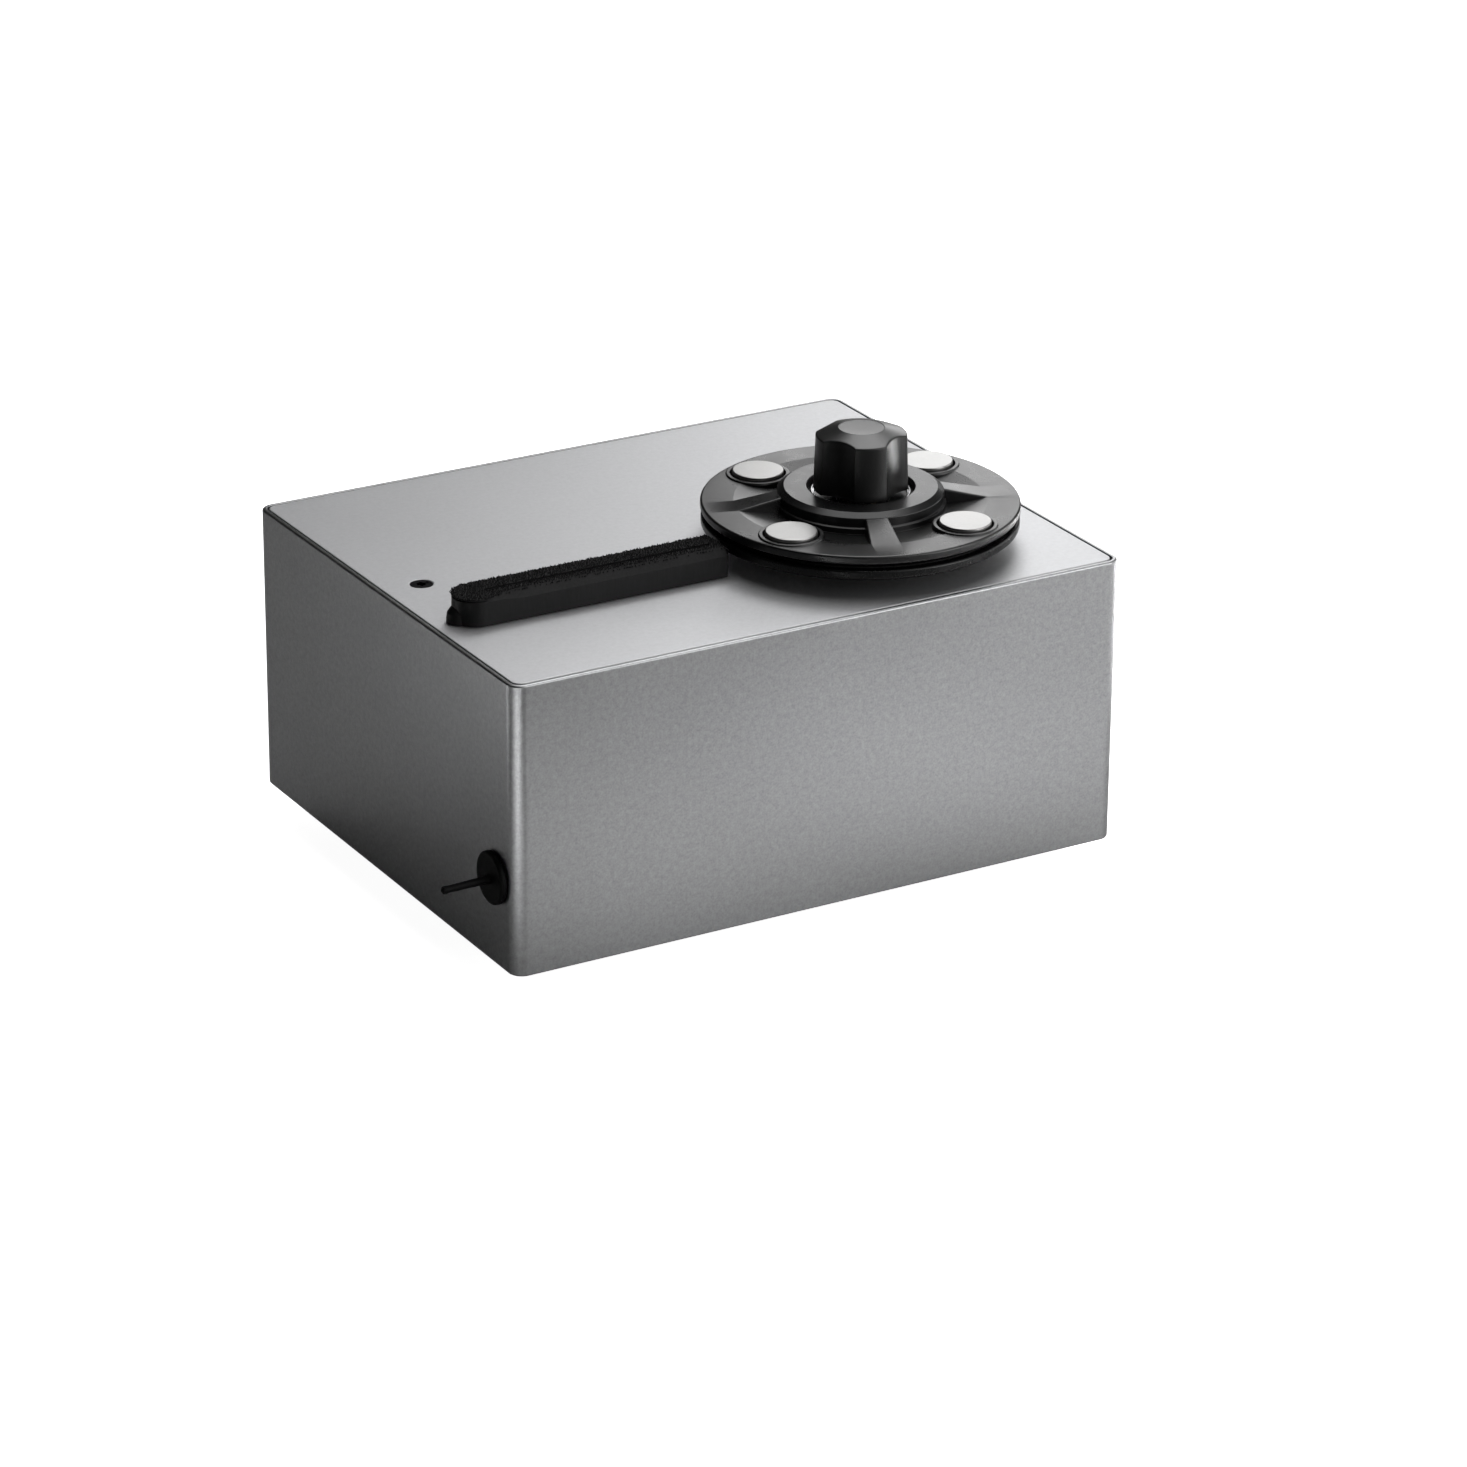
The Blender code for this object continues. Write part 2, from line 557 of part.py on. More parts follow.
# Drain stopper: plug, flange and a curved pull tab.
stop_axis = empty("stopper_axis", P(0, *DRAIN))
stopper = turned("drain_stopper",
                 [(0, STOP_T + GAP), (7.6, STOP_T + GAP), (9.0, STOP_T - 0.3), (9.1, GAP + 0.3), (8.8, GAP),
                  (6.2, GAP), (6.2, -7.5), (5.2, -9.5), (3.0, -9.5), (2.6, -5.0), (0, -5.0)],
                 (0, *DRAIN), RUBBER, stop_axis, steps=22, closed=False, axis="X")
tab = bpy.data.curves.new("stopper_tab", "CURVE")
tab.dimensions = "3D"
tab.bevel_depth = 1.15 * MM
tab.bevel_resolution = 2
tab.use_fill_caps = True
sp = tab.splines.new("POLY")
N_TAB = 7
sp.points.add(N_TAB)
for i, p in enumerate(sp.points):
    t = i / N_TAB
    x = -1.0 + (TAB_X + 0.05 + 1.0) * t
    p.co = (x * MM, 0.0, (0.9 - 1.7 * t * t) * MM, 1.0)
    p.radius = 1.18 - 0.25 * t
tmp = bpy.data.objects.new("tab_curve", tab)
TOOLS.objects.link(tmp)
bpy.context.view_layer.update()
me = bpy.data.meshes.new_from_object(tmp.evaluated_get(bpy.context.evaluated_depsgraph_get()))
bm = bmesh.new()
bm.from_mesh(me)
bmesh.ops.remove_doubles(bm, verts=bm.verts, dist=1e-6)
bm.to_mesh(me)
bm.free()
bpy.data.objects.remove(tmp, do_unlink=True)
join(stopper, add("tab_solid", me, P(0, *DRAIN)))

# =================================================================== vacuum
VZ0, VZ1 = 44.0, 66.0
blower = rod("blower_housing", 34.0, VZ1 - VZ0, (BX, BY, (VZ0 + VZ1) / 2), look=GREY_PL, sides=30)
join(blower, block("duct_outer", BX + 8, BX + 34, BY, D - WALL - 0.6, VZ0, VZ1),
     rod("blower_inlet", 7.5, 8.0, (BX, BY, VZ1 + 1.4), sides=24))
cut(blower, rod("cut_volute", 32.0, VZ1 - VZ0 - 4, (BX, BY, (VZ0 + VZ1) / 2), sides=30),
    block("cut_duct_in", BX + 10, BX + 32, BY, D + 4, VZ0 + 2, VZ1 - 2),
    rod("cut_inlet_bore", 5.9, 16.0, (BX, BY, VZ1 + 4.0), sides=24),
    rod("cut_shaft", 4.2, 8.0, (BX, BY, VZ0), sides=20))

imp_axis = empty("impeller_axis", P(BX, BY, VZ0))
impeller = turned("impeller",
                  [(0, 18.0), (2.8, 18.0), (6.6, 14.0), (7.0, 5.0), (28.0, 5.0), (28.0, 3.5), (6.0, 3.5),
                   (2.5, 3.0), (2.5, -8.0), (0, -8.0)],
                  (BX, BY, VZ0), GREY_PL, imp_axis, steps=20, closed=False)
vane = []
NV = 6
for k in range(NV):
    a0 = math.tau * k / NV
    for r, da in ((6.0, -0.18), (17.0, 0.10), (27.0, 0.42), (27.0, 0.47), (17.0, 0.18), (6.0, 0.18)):
        vane.append((BX + r * math.cos(a0 + da), BY + r * math.sin(a0 + da)))
join(impeller, outline("vanes", [vane], VZ0 + 4.2, VZ0 + 15.0, at=(BX, BY)))

turned("vacuum_motor",
       [(0, 34.5), (2.9, 34.5), (2.9, 43.6), (8.0, 43.6), (8.0, 40.5), (24.5, 40.5), (26.0, 39.0),
        (26.0, 8.0), (24.5, 6.2), (0, 6.2)],
       (BX, BY, 0), STEEL, steps=20, closed=False)
turned("vacuum_motor_mount",
       [(14.0, 5.8), (25.5, 5.8), (25.5, BASE_Z + BASE_T + GAP), (14.0, BASE_Z + BASE_T + GAP)],
       (BX, BY, 0), RUBBER, steps=20)

# Hose from the tank lid to the blower: up, over and down.
HOSE_TOP = 85.6
HOSE_BEND = 11.5
dx, dy = BX - OUT_X, BY - OUT_Y
span = math.hypot(dx, dy)
ux, uy = dx / span, dy / span
path = [(0.0, LID_Z1 + 0.6)]
for i in range(6):
    a = math.pi / 2 * i / 5
    path.append((HOSE_BEND * (1 - math.cos(a)), HOSE_TOP - HOSE_BEND + HOSE_BEND * math.sin(a)))
for i in range(6):
    a = math.pi / 2 * (1 - i / 5)
    path.append((span - HOSE_BEND * (1 - math.cos(a)), HOSE_TOP - HOSE_BEND + HOSE_BEND * math.sin(a)))
path.append((span, VZ1 + 0.6))
cu = bpy.data.curves.new("hose_path", "CURVE")
cu.dimensions = "3D"
cu.bevel_depth = 8.2 * MM
cu.bevel_resolution = 3
cu.use_fill_caps = False
sp = cu.splines.new("POLY")
sp.points.add(len(path) - 1)
for p, (s, z) in zip(sp.points, path):
    p.co = (ux * s * MM, uy * s * MM, z * MM, 1.0)
tmp = bpy.data.objects.new("hose_curve", cu)
TOOLS.objects.link(tmp)
bpy.context.view_layer.update()
me = bpy.data.meshes.new_from_object(tmp.evaluated_get(bpy.context.evaluated_depsgraph_get()))
me.name = "vacuum_hose"
bpy.data.objects.remove(tmp, do_unlink=True)
hose = add("vacuum_hose", me, P(OUT_X, OUT_Y, 0), RUBBER)
s = hose.modifiers.new("wall", "SOLIDIFY")
s.thickness = 1.5 * MM
s.offset = 1.0

# Exhaust grille in the rear wall.
GX0, GX1, GZ0, GZ1 = BX + 7.3, BX + 34.7, 43.3, 66.7
grille = block("exhaust_grille", GX0 - 3, GX1 + 3, D + GAP, D + GAP + FLANGE, GZ0 - 3, GZ1 + 3, MATTE_BLACK)
join(grille, block("grille_neck", GX0, GX1, D - WALL - 0.2, D + GAP + 0.6, GZ0, GZ1))
for i in range(5):
    z = GZ0 + 2.2 + i * 4.5
    cut(grille, block("cut_grille_%d" % i, GX0 + 2.4, GX1 - 2.4, D - 6, D + 6, z, z + 2.4))

# ==================================================================== drive
motor_axis = empty("motor_axis", P(MX, MY, 0))
turned("drive_motor",
       [(0, 50.0), (3.3, 50.0), (3.3, 65.5), (7.0, 65.5), (7.0, 61.4), (22.0, 61.4), (23.0, 60.4),
        (23.0, 46.0), (21.0, 45.0), (21.0, 20.0), (20.0, 18.8), (0, 18.8)],
       (MX, MY, 0), STEEL, steps=20, closed=False)
turned("motor_shaft",
       [(0, 79.5), (2.6, 79.5), (3.0, 79.0), (3.0, 51.0), (0, 51.0)],
       (MX, MY, 0), STEEL, motor_axis, steps=16, closed=False)
turned("motor_pulley",
       [(3.3, H - 22.6), (11.0, H - 22.6), (11.0, H - 24.7), (SEAT_SMALL, H - 24.9),
        (SEAT_SMALL, H - 30.5), (11.0, H - 30.7), (11.0, H - 32.6), (3.3, H - 32.6)],
       (MX, MY, 0), BRASS, motor_axis, steps=16)
T = 2.0
BZ = 61.7
b0, b1 = MX - 27.0, MX + 27.0
zb = BASE_Z + BASE_T + GAP
sheet = [(b0 - 11, zb), (b0, zb), (b0, BZ), (b1, BZ), (b1, zb), (b1 + 11, zb), (b1 + 11, zb + T),
         (b1 + T, zb + T), (b1 + T, BZ + T), (b0 - T, BZ + T), (b0 - T, zb + T), (b0 - 11, zb + T)]
bm = bmesh.new()
fr = [bm.verts.new(((x - MX) * MM, -14.0 * MM, z * MM)) for x, z in sheet]
f = bm.faces.new(fr)
ext = bmesh.ops.extrude_face_region(bm, geom=[f])
bmesh.ops.translate(bm, vec=(0, 28.0 * MM, 0), verts=[g for g in ext["geom"] if isinstance(g, bmesh.types.BMVert)])
bmesh.ops.recalc_face_normals(bm, faces=bm.faces)
bracket = add("motor_bracket", from_bm("motor_bracket", bm), P(MX, MY, 0), ZINC)
cut(bracket, rod("cut_boss", 7.4, 10, (MX, MY, BZ + 1), sides=24))

# Belt loop round both pulleys.


def belt_loop(off, n=10):
    d = math.hypot(MX - SX, MY - SY)
    base_a = math.atan2(MY - SY, MX - SX)
    r1, r2 = SEAT_BIG + off, SEAT_SMALL + off
    b = math.acos((r1 - r2) / d)
    pts = []
    for i in range(2 * n + 1):
        a = base_a + b + (math.tau - 2 * b) * i / (2 * n)
        pts.append((SX + r1 * math.cos(a), SY + r1 * math.sin(a)))
    for i in range(n + 1):
        a = base_a - b + 2 * b * i / n
        pts.append((MX + r2 * math.cos(a), MY + r2 * math.sin(a)))
    return pts


outline("drive_belt", [belt_loop(1.5), belt_loop(0.3)], BELT_Z0, BELT_Z1, RUBBER, at=(SX, SY))

# ============================================================ panel fittings


def rocker(name, origin, wall, rest, parent):
    """Rocker whose pivot is at origin, in the outer face of its flange.  wall is
    'X' (right wall, pivot along y) or 'Y' (rear wall, pivot along x)."""
    top_v = math.sqrt(ROCK_R ** 2 - ROCK_TOP ** 2)
    prof = [(-top_v, ROCK_TOP), (0.0, -0.45), (top_v, ROCK_TOP), (ROCK_R, 0.0), (9.6, -2.8), (5.5, -6.0),
            (-5.5, -6.0), (-9.6, -2.8), (-ROCK_R, 0.0)]
    ca, sa = math.cos(math.radians(rest)), math.sin(math.radians(rest))
    prof = [(v * ca - u * sa, v * sa + u * ca) for v, u in prof]
    bm = bmesh.new()
    w = ROCK_W / 2
    if wall == "X":
        vs = [bm.verts.new((u * MM, -w * MM, v * MM)) for v, u in prof]
        vec = (0, 2 * w * MM, 0)
    else:
        vs = [bm.verts.new((-w * MM, u * MM, v * MM)) for v, u in prof]
        vec = (2 * w * MM, 0, 0)
    f = bm.faces.new(vs)
    ext = bmesh.ops.extrude_face_region(bm, geom=[f])
    bmesh.ops.translate(bm, vec=vec, verts=[g for g in ext["geom"] if isinstance(g, bmesh.types.BMVert)])
    bmesh.ops.recalc_face_normals(bm, faces=bm.faces)
    return add(name, from_bm(name, bm), P(*origin), SATIN_BLACK, parent)


# Switch plate in the right wall, with two rockers side by side.
FX = W + GAP + FLANGE
bezel = block("switch_plate", W + GAP, FX, SW_Y - 20, SW_Y + 20, SW_Z - 15, SW_Z + 15, MATTE_BLACK)
join(bezel, block("switch_body", W - 18, W + GAP + 0.5, SW_Y - 17, SW_Y + 17, SW_Z - 12, SW_Z + 12))
ROT_Y, SUC_Y = SW_Y - 8.0, SW_Y + 8.0
for nm, y in (("rotation", ROT_Y), ("suction", SUC_Y)):
    cut(bezel, block("cut_well_" + nm, W - 9.5, W + 8, y - ROCK_W / 2 - GAP, y + ROCK_W / 2 + GAP,
                     SW_Z - ROCK_R - GAP, SW_Z + ROCK_R + GAP))
rotation_axis = empty("rotation_switch_axis", P(FX, ROT_Y, SW_Z))
rocker("rotation_rocker", (FX, ROT_Y, SW_Z), "X", 0.0, rotation_axis)
suction_axis = empty("suction_switch_axis", P(FX, SUC_Y, SW_Z))
rocker("suction_rocker", (FX, SUC_Y, SW_Z), "X", -ROCK_TILT, suction_axis)

# Power inlet with its own rocker, in the rear wall.
FY = D + GAP + FLANGE
inlet = block("power_inlet", IN_X - 26, IN_X + 26, D + GAP, FY, IN_Z - 15, IN_Z + 15, MATTE_BLACK)
join(inlet, block("inlet_body", IN_X - 23, IN_X + 23, D - 22, D + GAP + 0.5, IN_Z - 12, IN_Z + 12))
SOCK_X = IN_X + 8.5
RK_X = IN_X - 13.0
cut(inlet, block("cut_socket", SOCK_X - 12.2, SOCK_X + 12.2, D - 17, D + 8, IN_Z - 8.2, IN_Z + 8.2),
    block("cut_rocker", RK_X - ROCK_W / 2 - GAP, RK_X + ROCK_W / 2 + GAP, D - 9.5, D + 8,
          IN_Z - ROCK_R - GAP, IN_Z + ROCK_R + GAP))
for k, (px, pz) in enumerate(((-7.0, -2.0), (7.0, -2.0), (0.0, 2.5))):
    join(inlet, block("pin_%d" % k, SOCK_X + px - 1.0, SOCK_X + px + 1.0, D - 18, D - 5,
                      IN_Z + pz - 2.0, IN_Z + pz + 2.0))
power_axis = empty("power_switch_axis", P(RK_X, FY, IN_Z))
rocker("power_rocker", (RK_X, FY, IN_Z), "Y", -ROCK_TILT, power_axis)

# Control board on its spacers, with the transformer beside it.
board = block("circuit_board", 104, 152, 26, 92, 10.0, 11.6, GREEN)
for k, (x, y) in enumerate(((107, 29), (149, 29), (107, 89), (149, 89))):
    join(board, rod("spacer_%d" % k, 2.4, 8.0, (x, y, 6.8), sides=12))
join(board, block("relay", 108, 124, 40, 54, 11.0, 26.0), block("relay_2", 128, 144, 40, 54, 11.0, 26.0),
     rod("capacitor", 6.0, 20.0, (134, 74, 21.0), sides=16))
transformer = block("transformer", 108, 146, 118, 152, BASE_Z + BASE_T + GAP, 34, ZINC, bevel=1.0)
join(transformer, block("coil", 113, 141, 111, 159, 7, 30, bevel=3.0, segs=2))

bpy.context.view_layer.update()
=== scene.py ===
"""Looks of the record cleaning machine: detailed meshes, procedural finishes,
floor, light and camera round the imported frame.

Sizes are in millimetres in the housing's own frame: x to the right from the
left wall, y to the back from the front wall, z up from the housing's lower
edge.  Meshes are built straight in the model's frame (metres, origin at the
centre of the footprint on the floor), with their objects left at the origin.
"""
import math
import random

import bmesh
import bpy
import numpy as np
from mathutils import Matrix, Vector


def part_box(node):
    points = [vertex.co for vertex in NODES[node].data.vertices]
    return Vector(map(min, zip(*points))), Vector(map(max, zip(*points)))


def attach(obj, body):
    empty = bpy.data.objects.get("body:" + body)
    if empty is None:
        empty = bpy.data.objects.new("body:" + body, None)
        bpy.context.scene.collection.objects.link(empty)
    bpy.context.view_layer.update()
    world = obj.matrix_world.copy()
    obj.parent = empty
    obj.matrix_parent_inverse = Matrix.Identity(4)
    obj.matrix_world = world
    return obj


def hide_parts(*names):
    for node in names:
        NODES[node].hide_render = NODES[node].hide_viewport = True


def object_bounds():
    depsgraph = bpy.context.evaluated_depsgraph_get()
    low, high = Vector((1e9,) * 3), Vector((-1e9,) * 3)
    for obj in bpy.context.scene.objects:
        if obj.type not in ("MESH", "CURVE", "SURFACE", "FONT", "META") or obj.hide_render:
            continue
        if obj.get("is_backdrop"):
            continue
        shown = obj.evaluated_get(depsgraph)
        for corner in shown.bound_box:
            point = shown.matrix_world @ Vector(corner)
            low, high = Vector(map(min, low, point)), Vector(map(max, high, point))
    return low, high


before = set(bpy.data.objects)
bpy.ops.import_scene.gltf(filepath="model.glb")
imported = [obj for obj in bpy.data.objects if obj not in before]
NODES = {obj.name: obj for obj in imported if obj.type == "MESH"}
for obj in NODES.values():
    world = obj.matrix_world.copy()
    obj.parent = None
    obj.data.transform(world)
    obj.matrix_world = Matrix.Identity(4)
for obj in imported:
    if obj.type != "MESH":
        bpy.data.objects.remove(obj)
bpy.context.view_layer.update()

# ---------------------------------------------------------------- dimensions
W, D, H = 230.0, 185.0, 101.3
WALL, R_CORNER, FOOT_H, GAP = 1.5, 5.0, 13.0, 0.3
PLATE_T, PLATE_IN = 3.0, 2.1
BASE_T, BASE_Z = 2.0, 0.5
FLANGE = 1.2
SX, SY = 162.3, 57.4
R_SPIN, R_PLAT, R_CLAMP = 3.55, 53.5, 53.7
RIB_A, MAG_A, MAG_R = -20.0, 25.5, 41.5
KNOB_R, KNOB_FOOT, KNOB_A, KNOB_TOP = 15.35, 15.9, -18.5, 40.7
ARM_Y, ARM_W, ARM_X0, ARM_X1 = 57.4, 15.3, 9.0, 107.3
PORT_X = 58.0
DRAIN = (13.3, 31.0)
STOP_T, TAB_X = 2.2, -19.6
BX, BY = 62.0, 141.0
SW_Y, SW_Z = 45.0, 62.0
IN_X, IN_Z = 186.0, 32.0
ROCK_R, ROCK_TOP, ROCK_TILT, ROCK_W = 10.0, 0.8, 8.0, 13.0

_a = math.radians(ROCK_TILT)
_out = ROCK_TOP * math.cos(_a) + math.sqrt(ROCK_R ** 2 - ROCK_TOP ** 2) * math.sin(_a)
XC = (W + GAP + FLANGE + _out + TAB_X) / 2
YC = (D + GAP + FLANGE + _out) / 2


def P(x, y, z):
    return Vector(((x - XC) * 0.001, (y - YC) * 0.001, (z + FOOT_H) * 0.001))


# ------------------------------------------------------------- mesh helpers
def make(name, verts, faces):
    """Object at the origin from points in the housing frame."""
    me = bpy.data.meshes.new(name)
    me.from_pydata([P(*v) for v in verts], [], faces)
    me.validate()
    bm = bmesh.new()
    bm.from_mesh(me)
    bmesh.ops.remove_doubles(bm, verts=bm.verts, dist=1e-7)
    bmesh.ops.recalc_face_normals(bm, faces=bm.faces)
    bm.to_mesh(me)
    bm.free()
    ob = bpy.data.objects.new(name, me)
    bpy.context.scene.collection.objects.link(ob)
    return ob


def arc_corners(pts, radii, n=4, closed=True):
    """Rounds the corners of a flat polyline; radii is a number or one each."""
    m = len(pts)
    rs = [radii] * m if isinstance(radii, (int, float)) else list(radii)
    out = []
    for i, p in enumerate(pts):
        r = rs[i]
        if r <= 0 or (not closed and i in (0, m - 1)):
            out.append(tuple(p))
            continue
        a, b = Vector(pts[i - 1]), Vector(pts[(i + 1) % m])
        p = Vector(p)
        u, v = (a - p), (b - p)
        lu, lv = u.length, v.length
        if lu < 1e-9 or lv < 1e-9:
            out.append(tuple(p))
            continue
        u, v = u / lu, v / lv
        half = math.acos(max(-1, min(1, u.dot(v)))) / 2
        if half > math.radians(88) or half < 1e-3:
            out.append(tuple(p))
            continue
        t = min(r / math.tan(half), 0.48 * lu, 0.48 * lv)
        r = t * math.tan(half)
        c = p + (u + v).normalized() * (r / math.sin(half))
        s, e = p + u * t - c, p + v * t - c
        a0 = math.atan2(s.y, s.x)
        da = (math.atan2(e.y, e.x) - a0 + math.pi) % math.tau - math.pi
        for k in range(n + 1):
            w = a0 + da * k / n
            out.append((c.x + r * math.cos(w), c.y + r * math.sin(w)))
    return out


def rounded(x0, x1, y0, y1, r, n=8):
    pts = []
    for cx, cy, a0 in ((x1 - r, y1 - r, 0), (x0 + r, y1 - r, 90),
                       (x0 + r, y0 + r, 180), (x1 - r, y0 + r, 270)):
        for i in range(n + 1):
            a = math.radians(a0 + 90 * i / n)
            pts.append((cx + r * math.cos(a), cy + r * math.sin(a)))
    return pts


def along(axis, origin):
    """Places (radial u, radial v, height h) for a turned or drawn-out piece."""
    ox, oy, oz = origin
    return {"Z": lambda u, v, h: (ox + u, oy + v, oz + h),
            "-Z": lambda u, v, h: (ox + u, oy - v, oz - h),
            "X": lambda u, v, h: (ox + h, oy + u, oz + v),
            "-X": lambda u, v, h: (ox - h, oy - u, oz + v),
            "Y": lambda u, v, h: (ox - u, oy + h, oz + v)}[axis]


def lathe(name, prof, origin, seg=96, axis="Z", closed=True):
    """Turned solid from (radius, height) points; an open profile starts and
    ends on the axis."""
    put = along(axis, origin)
    verts, rings = [], []
    for r, h in prof:
        if r < 1e-6:
            rings.append([len(verts)])
            verts.append(put(0, 0, h))
        else:
            rings.append(list(range(len(verts), len(verts) + seg)))
            for i in range(seg):
                a = math.tau * i / seg
                verts.append(put(r * math.cos(a), r * math.sin(a), h))
    faces = []
    pairs = list(zip(rings, rings[1:])) + ([(rings[-1], rings[0])] if closed else [])
    for a, b in pairs:
        if len(a) == 1 and len(b) == 1:
            continue
        for i in range(seg):
            j = (i + 1) % seg
            if len(a) == 1:
                faces.append((a[0], b[i], b[j]))
            elif len(b) == 1:
                faces.append((a[i], a[j], b[0]))
            else:
                faces.append((a[i], a[j], b[j], b[i]))
    return make(name, verts, faces)


def inset(loop, d):
    """Loop moved inwards by d (a counter-clockwise loop)."""
    n = len(loop)
    out = []
    for i in range(n):
        p0, p1, p2 = Vector(loop[i - 1]), Vector(loop[i]), Vector(loop[(i + 1) % n])
        e1, e2 = (p1 - p0).normalized(), (p2 - p1).normalized()
        n1, n2 = Vector((-e1.y, e1.x)), Vector((-e2.y, e2.x))
        q = p1 + (n1 + n2) * (d / (1 + max(-0.6, n1.dot(n2))))
        out.append((q.x, q.y))
    return out


def ccw(loop):
    s = sum(a[0] * b[1] - b[0] * a[1] for a, b in zip(loop, loop[1:] + loop[:1]))
    return loop if s > 0 else list(reversed(loop))


def prism(name, loop, h0, h1, r0=0.0, r1=0.0, origin=(0, 0, 0), axis="Z", n=3):
    """Drawn-out outline from height h0 to h1 with rounded rims r0 and r1."""
    loop = ccw(list(loop))
    put = along(axis, origin)
    rings = []
    if r0 > 0:
        for k in range(n + 1):
            a = math.pi / 2 * k / n
            rings.append((r0 * (1 - math.sin(a)), h0 + r0 * (1 - math.cos(a))))
    else:
        rings.append((0.0, h0))
    if r1 > 0:
        for k in range(n + 1):
            a = math.pi / 2 * (1 - k / n)
            rings.append((r1 * (1 - math.sin(a)), h1 - r1 * (1 - math.cos(a))))
    else:
        rings.append((0.0, h1))
    verts, idx = [], []
    for d, h in rings:
        lp = inset(loop, d) if d > 1e-9 else loop
        idx.append(list(range(len(verts), len(verts) + len(lp))))
        verts += [put(x, y, h) for x, y in lp]
    faces = [tuple(reversed(idx[0])), tuple(idx[-1])]
    for a, b in zip(idx, idx[1:]):
        for i in range(len(a)):
            j = (i + 1) % len(a)
            faces.append((a[i], a[j], b[j], b[i]))
    return make(name, verts, faces)


def box(name, x0, x1, y0, y1, z0, z1, r=0.0, n=2):
    """Block with its edges rounded by r."""
    bm = bmesh.new()
    bmesh.ops.create_cube(bm, size=1.0)
    for v in bm.verts:
        v.co = P(x0 if v.co.x < 0 else x1, y0 if v.co.y < 0 else y1, z0 if v.co.z < 0 else z1)
    if r:
        bmesh.ops.bevel(bm, geom=list(bm.edges), offset=r * 0.001, segments=n, profile=0.5, affect="EDGES")
    me = bpy.data.meshes.new(name)
    bm.to_mesh(me)
    bm.free()
    ob = bpy.data.objects.new(name, me)
    bpy.context.scene.collection.objects.link(ob)
    return ob


def settle(ob):
    """Applies an object's modifiers to its mesh."""
    bpy.context.view_layer.update()
    dg = bpy.context.evaluated_depsgraph_get()
    me = bpy.data.meshes.new_from_object(ob.evaluated_get(dg))
    ob.modifiers.clear()
    old, ob.data = ob.data, me
    me.name = ob.name
    bpy.data.meshes.remove(old)
    return ob


def combine(ob, others, op):
    for o in others:
        m = ob.modifiers.new("with_" + o.name, "BOOLEAN")
        m.operation, m.solver, m.object = op, "EXACT", o
    settle(ob)
    for o in others:
        me = o.data
        bpy.data.objects.remove(o)
        bpy.data.meshes.remove(me)
    return ob


def cut(ob, *others):
    return combine(ob, others, "DIFFERENCE")


def fuse(ob, *others):
    return combine(ob, others, "UNION")


def merged(name, parts):
    """Several separate shells as one piece."""
    bm = bmesh.new()
    for o in parts:
        bm.from_mesh(o.data)
    me = bpy.data.meshes.new(name)
    bm.to_mesh(me)
    bm.free()
    for o in parts:
        d = o.data
        bpy.data.objects.remove(o)
        bpy.data.meshes.remove(d)
    ob = bpy.data.objects.new(name, me)
    bpy.context.scene.collection.objects.link(ob)
    return ob


def done(ob, body, mat, stands_for=(), angle=32):
    """Shading, finish, body and the CAD nodes that the piece stands for."""
    me = ob.data
    bm = bmesh.new()
    bm.from_mesh(me)
    bmesh.ops.remove_doubles(bm, verts=bm.verts, dist=2e-7)
    bmesh.ops.dissolve_degenerate(bm, edges=bm.edges, dist=1e-7)
    bm.to_mesh(me)
    bm.free()
    me.shade_smooth()
    me.set_sharp_from_angle(angle=math.radians(angle))
    w = ob.modifiers.new("normals", "WEIGHTED_NORMAL")
    w.keep_sharp = True
    w.weight = 60
    me.materials.clear()
    me.materials.append(mat)
    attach(ob, body)
    if stands_for:
        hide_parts(*stands_for)
    return ob


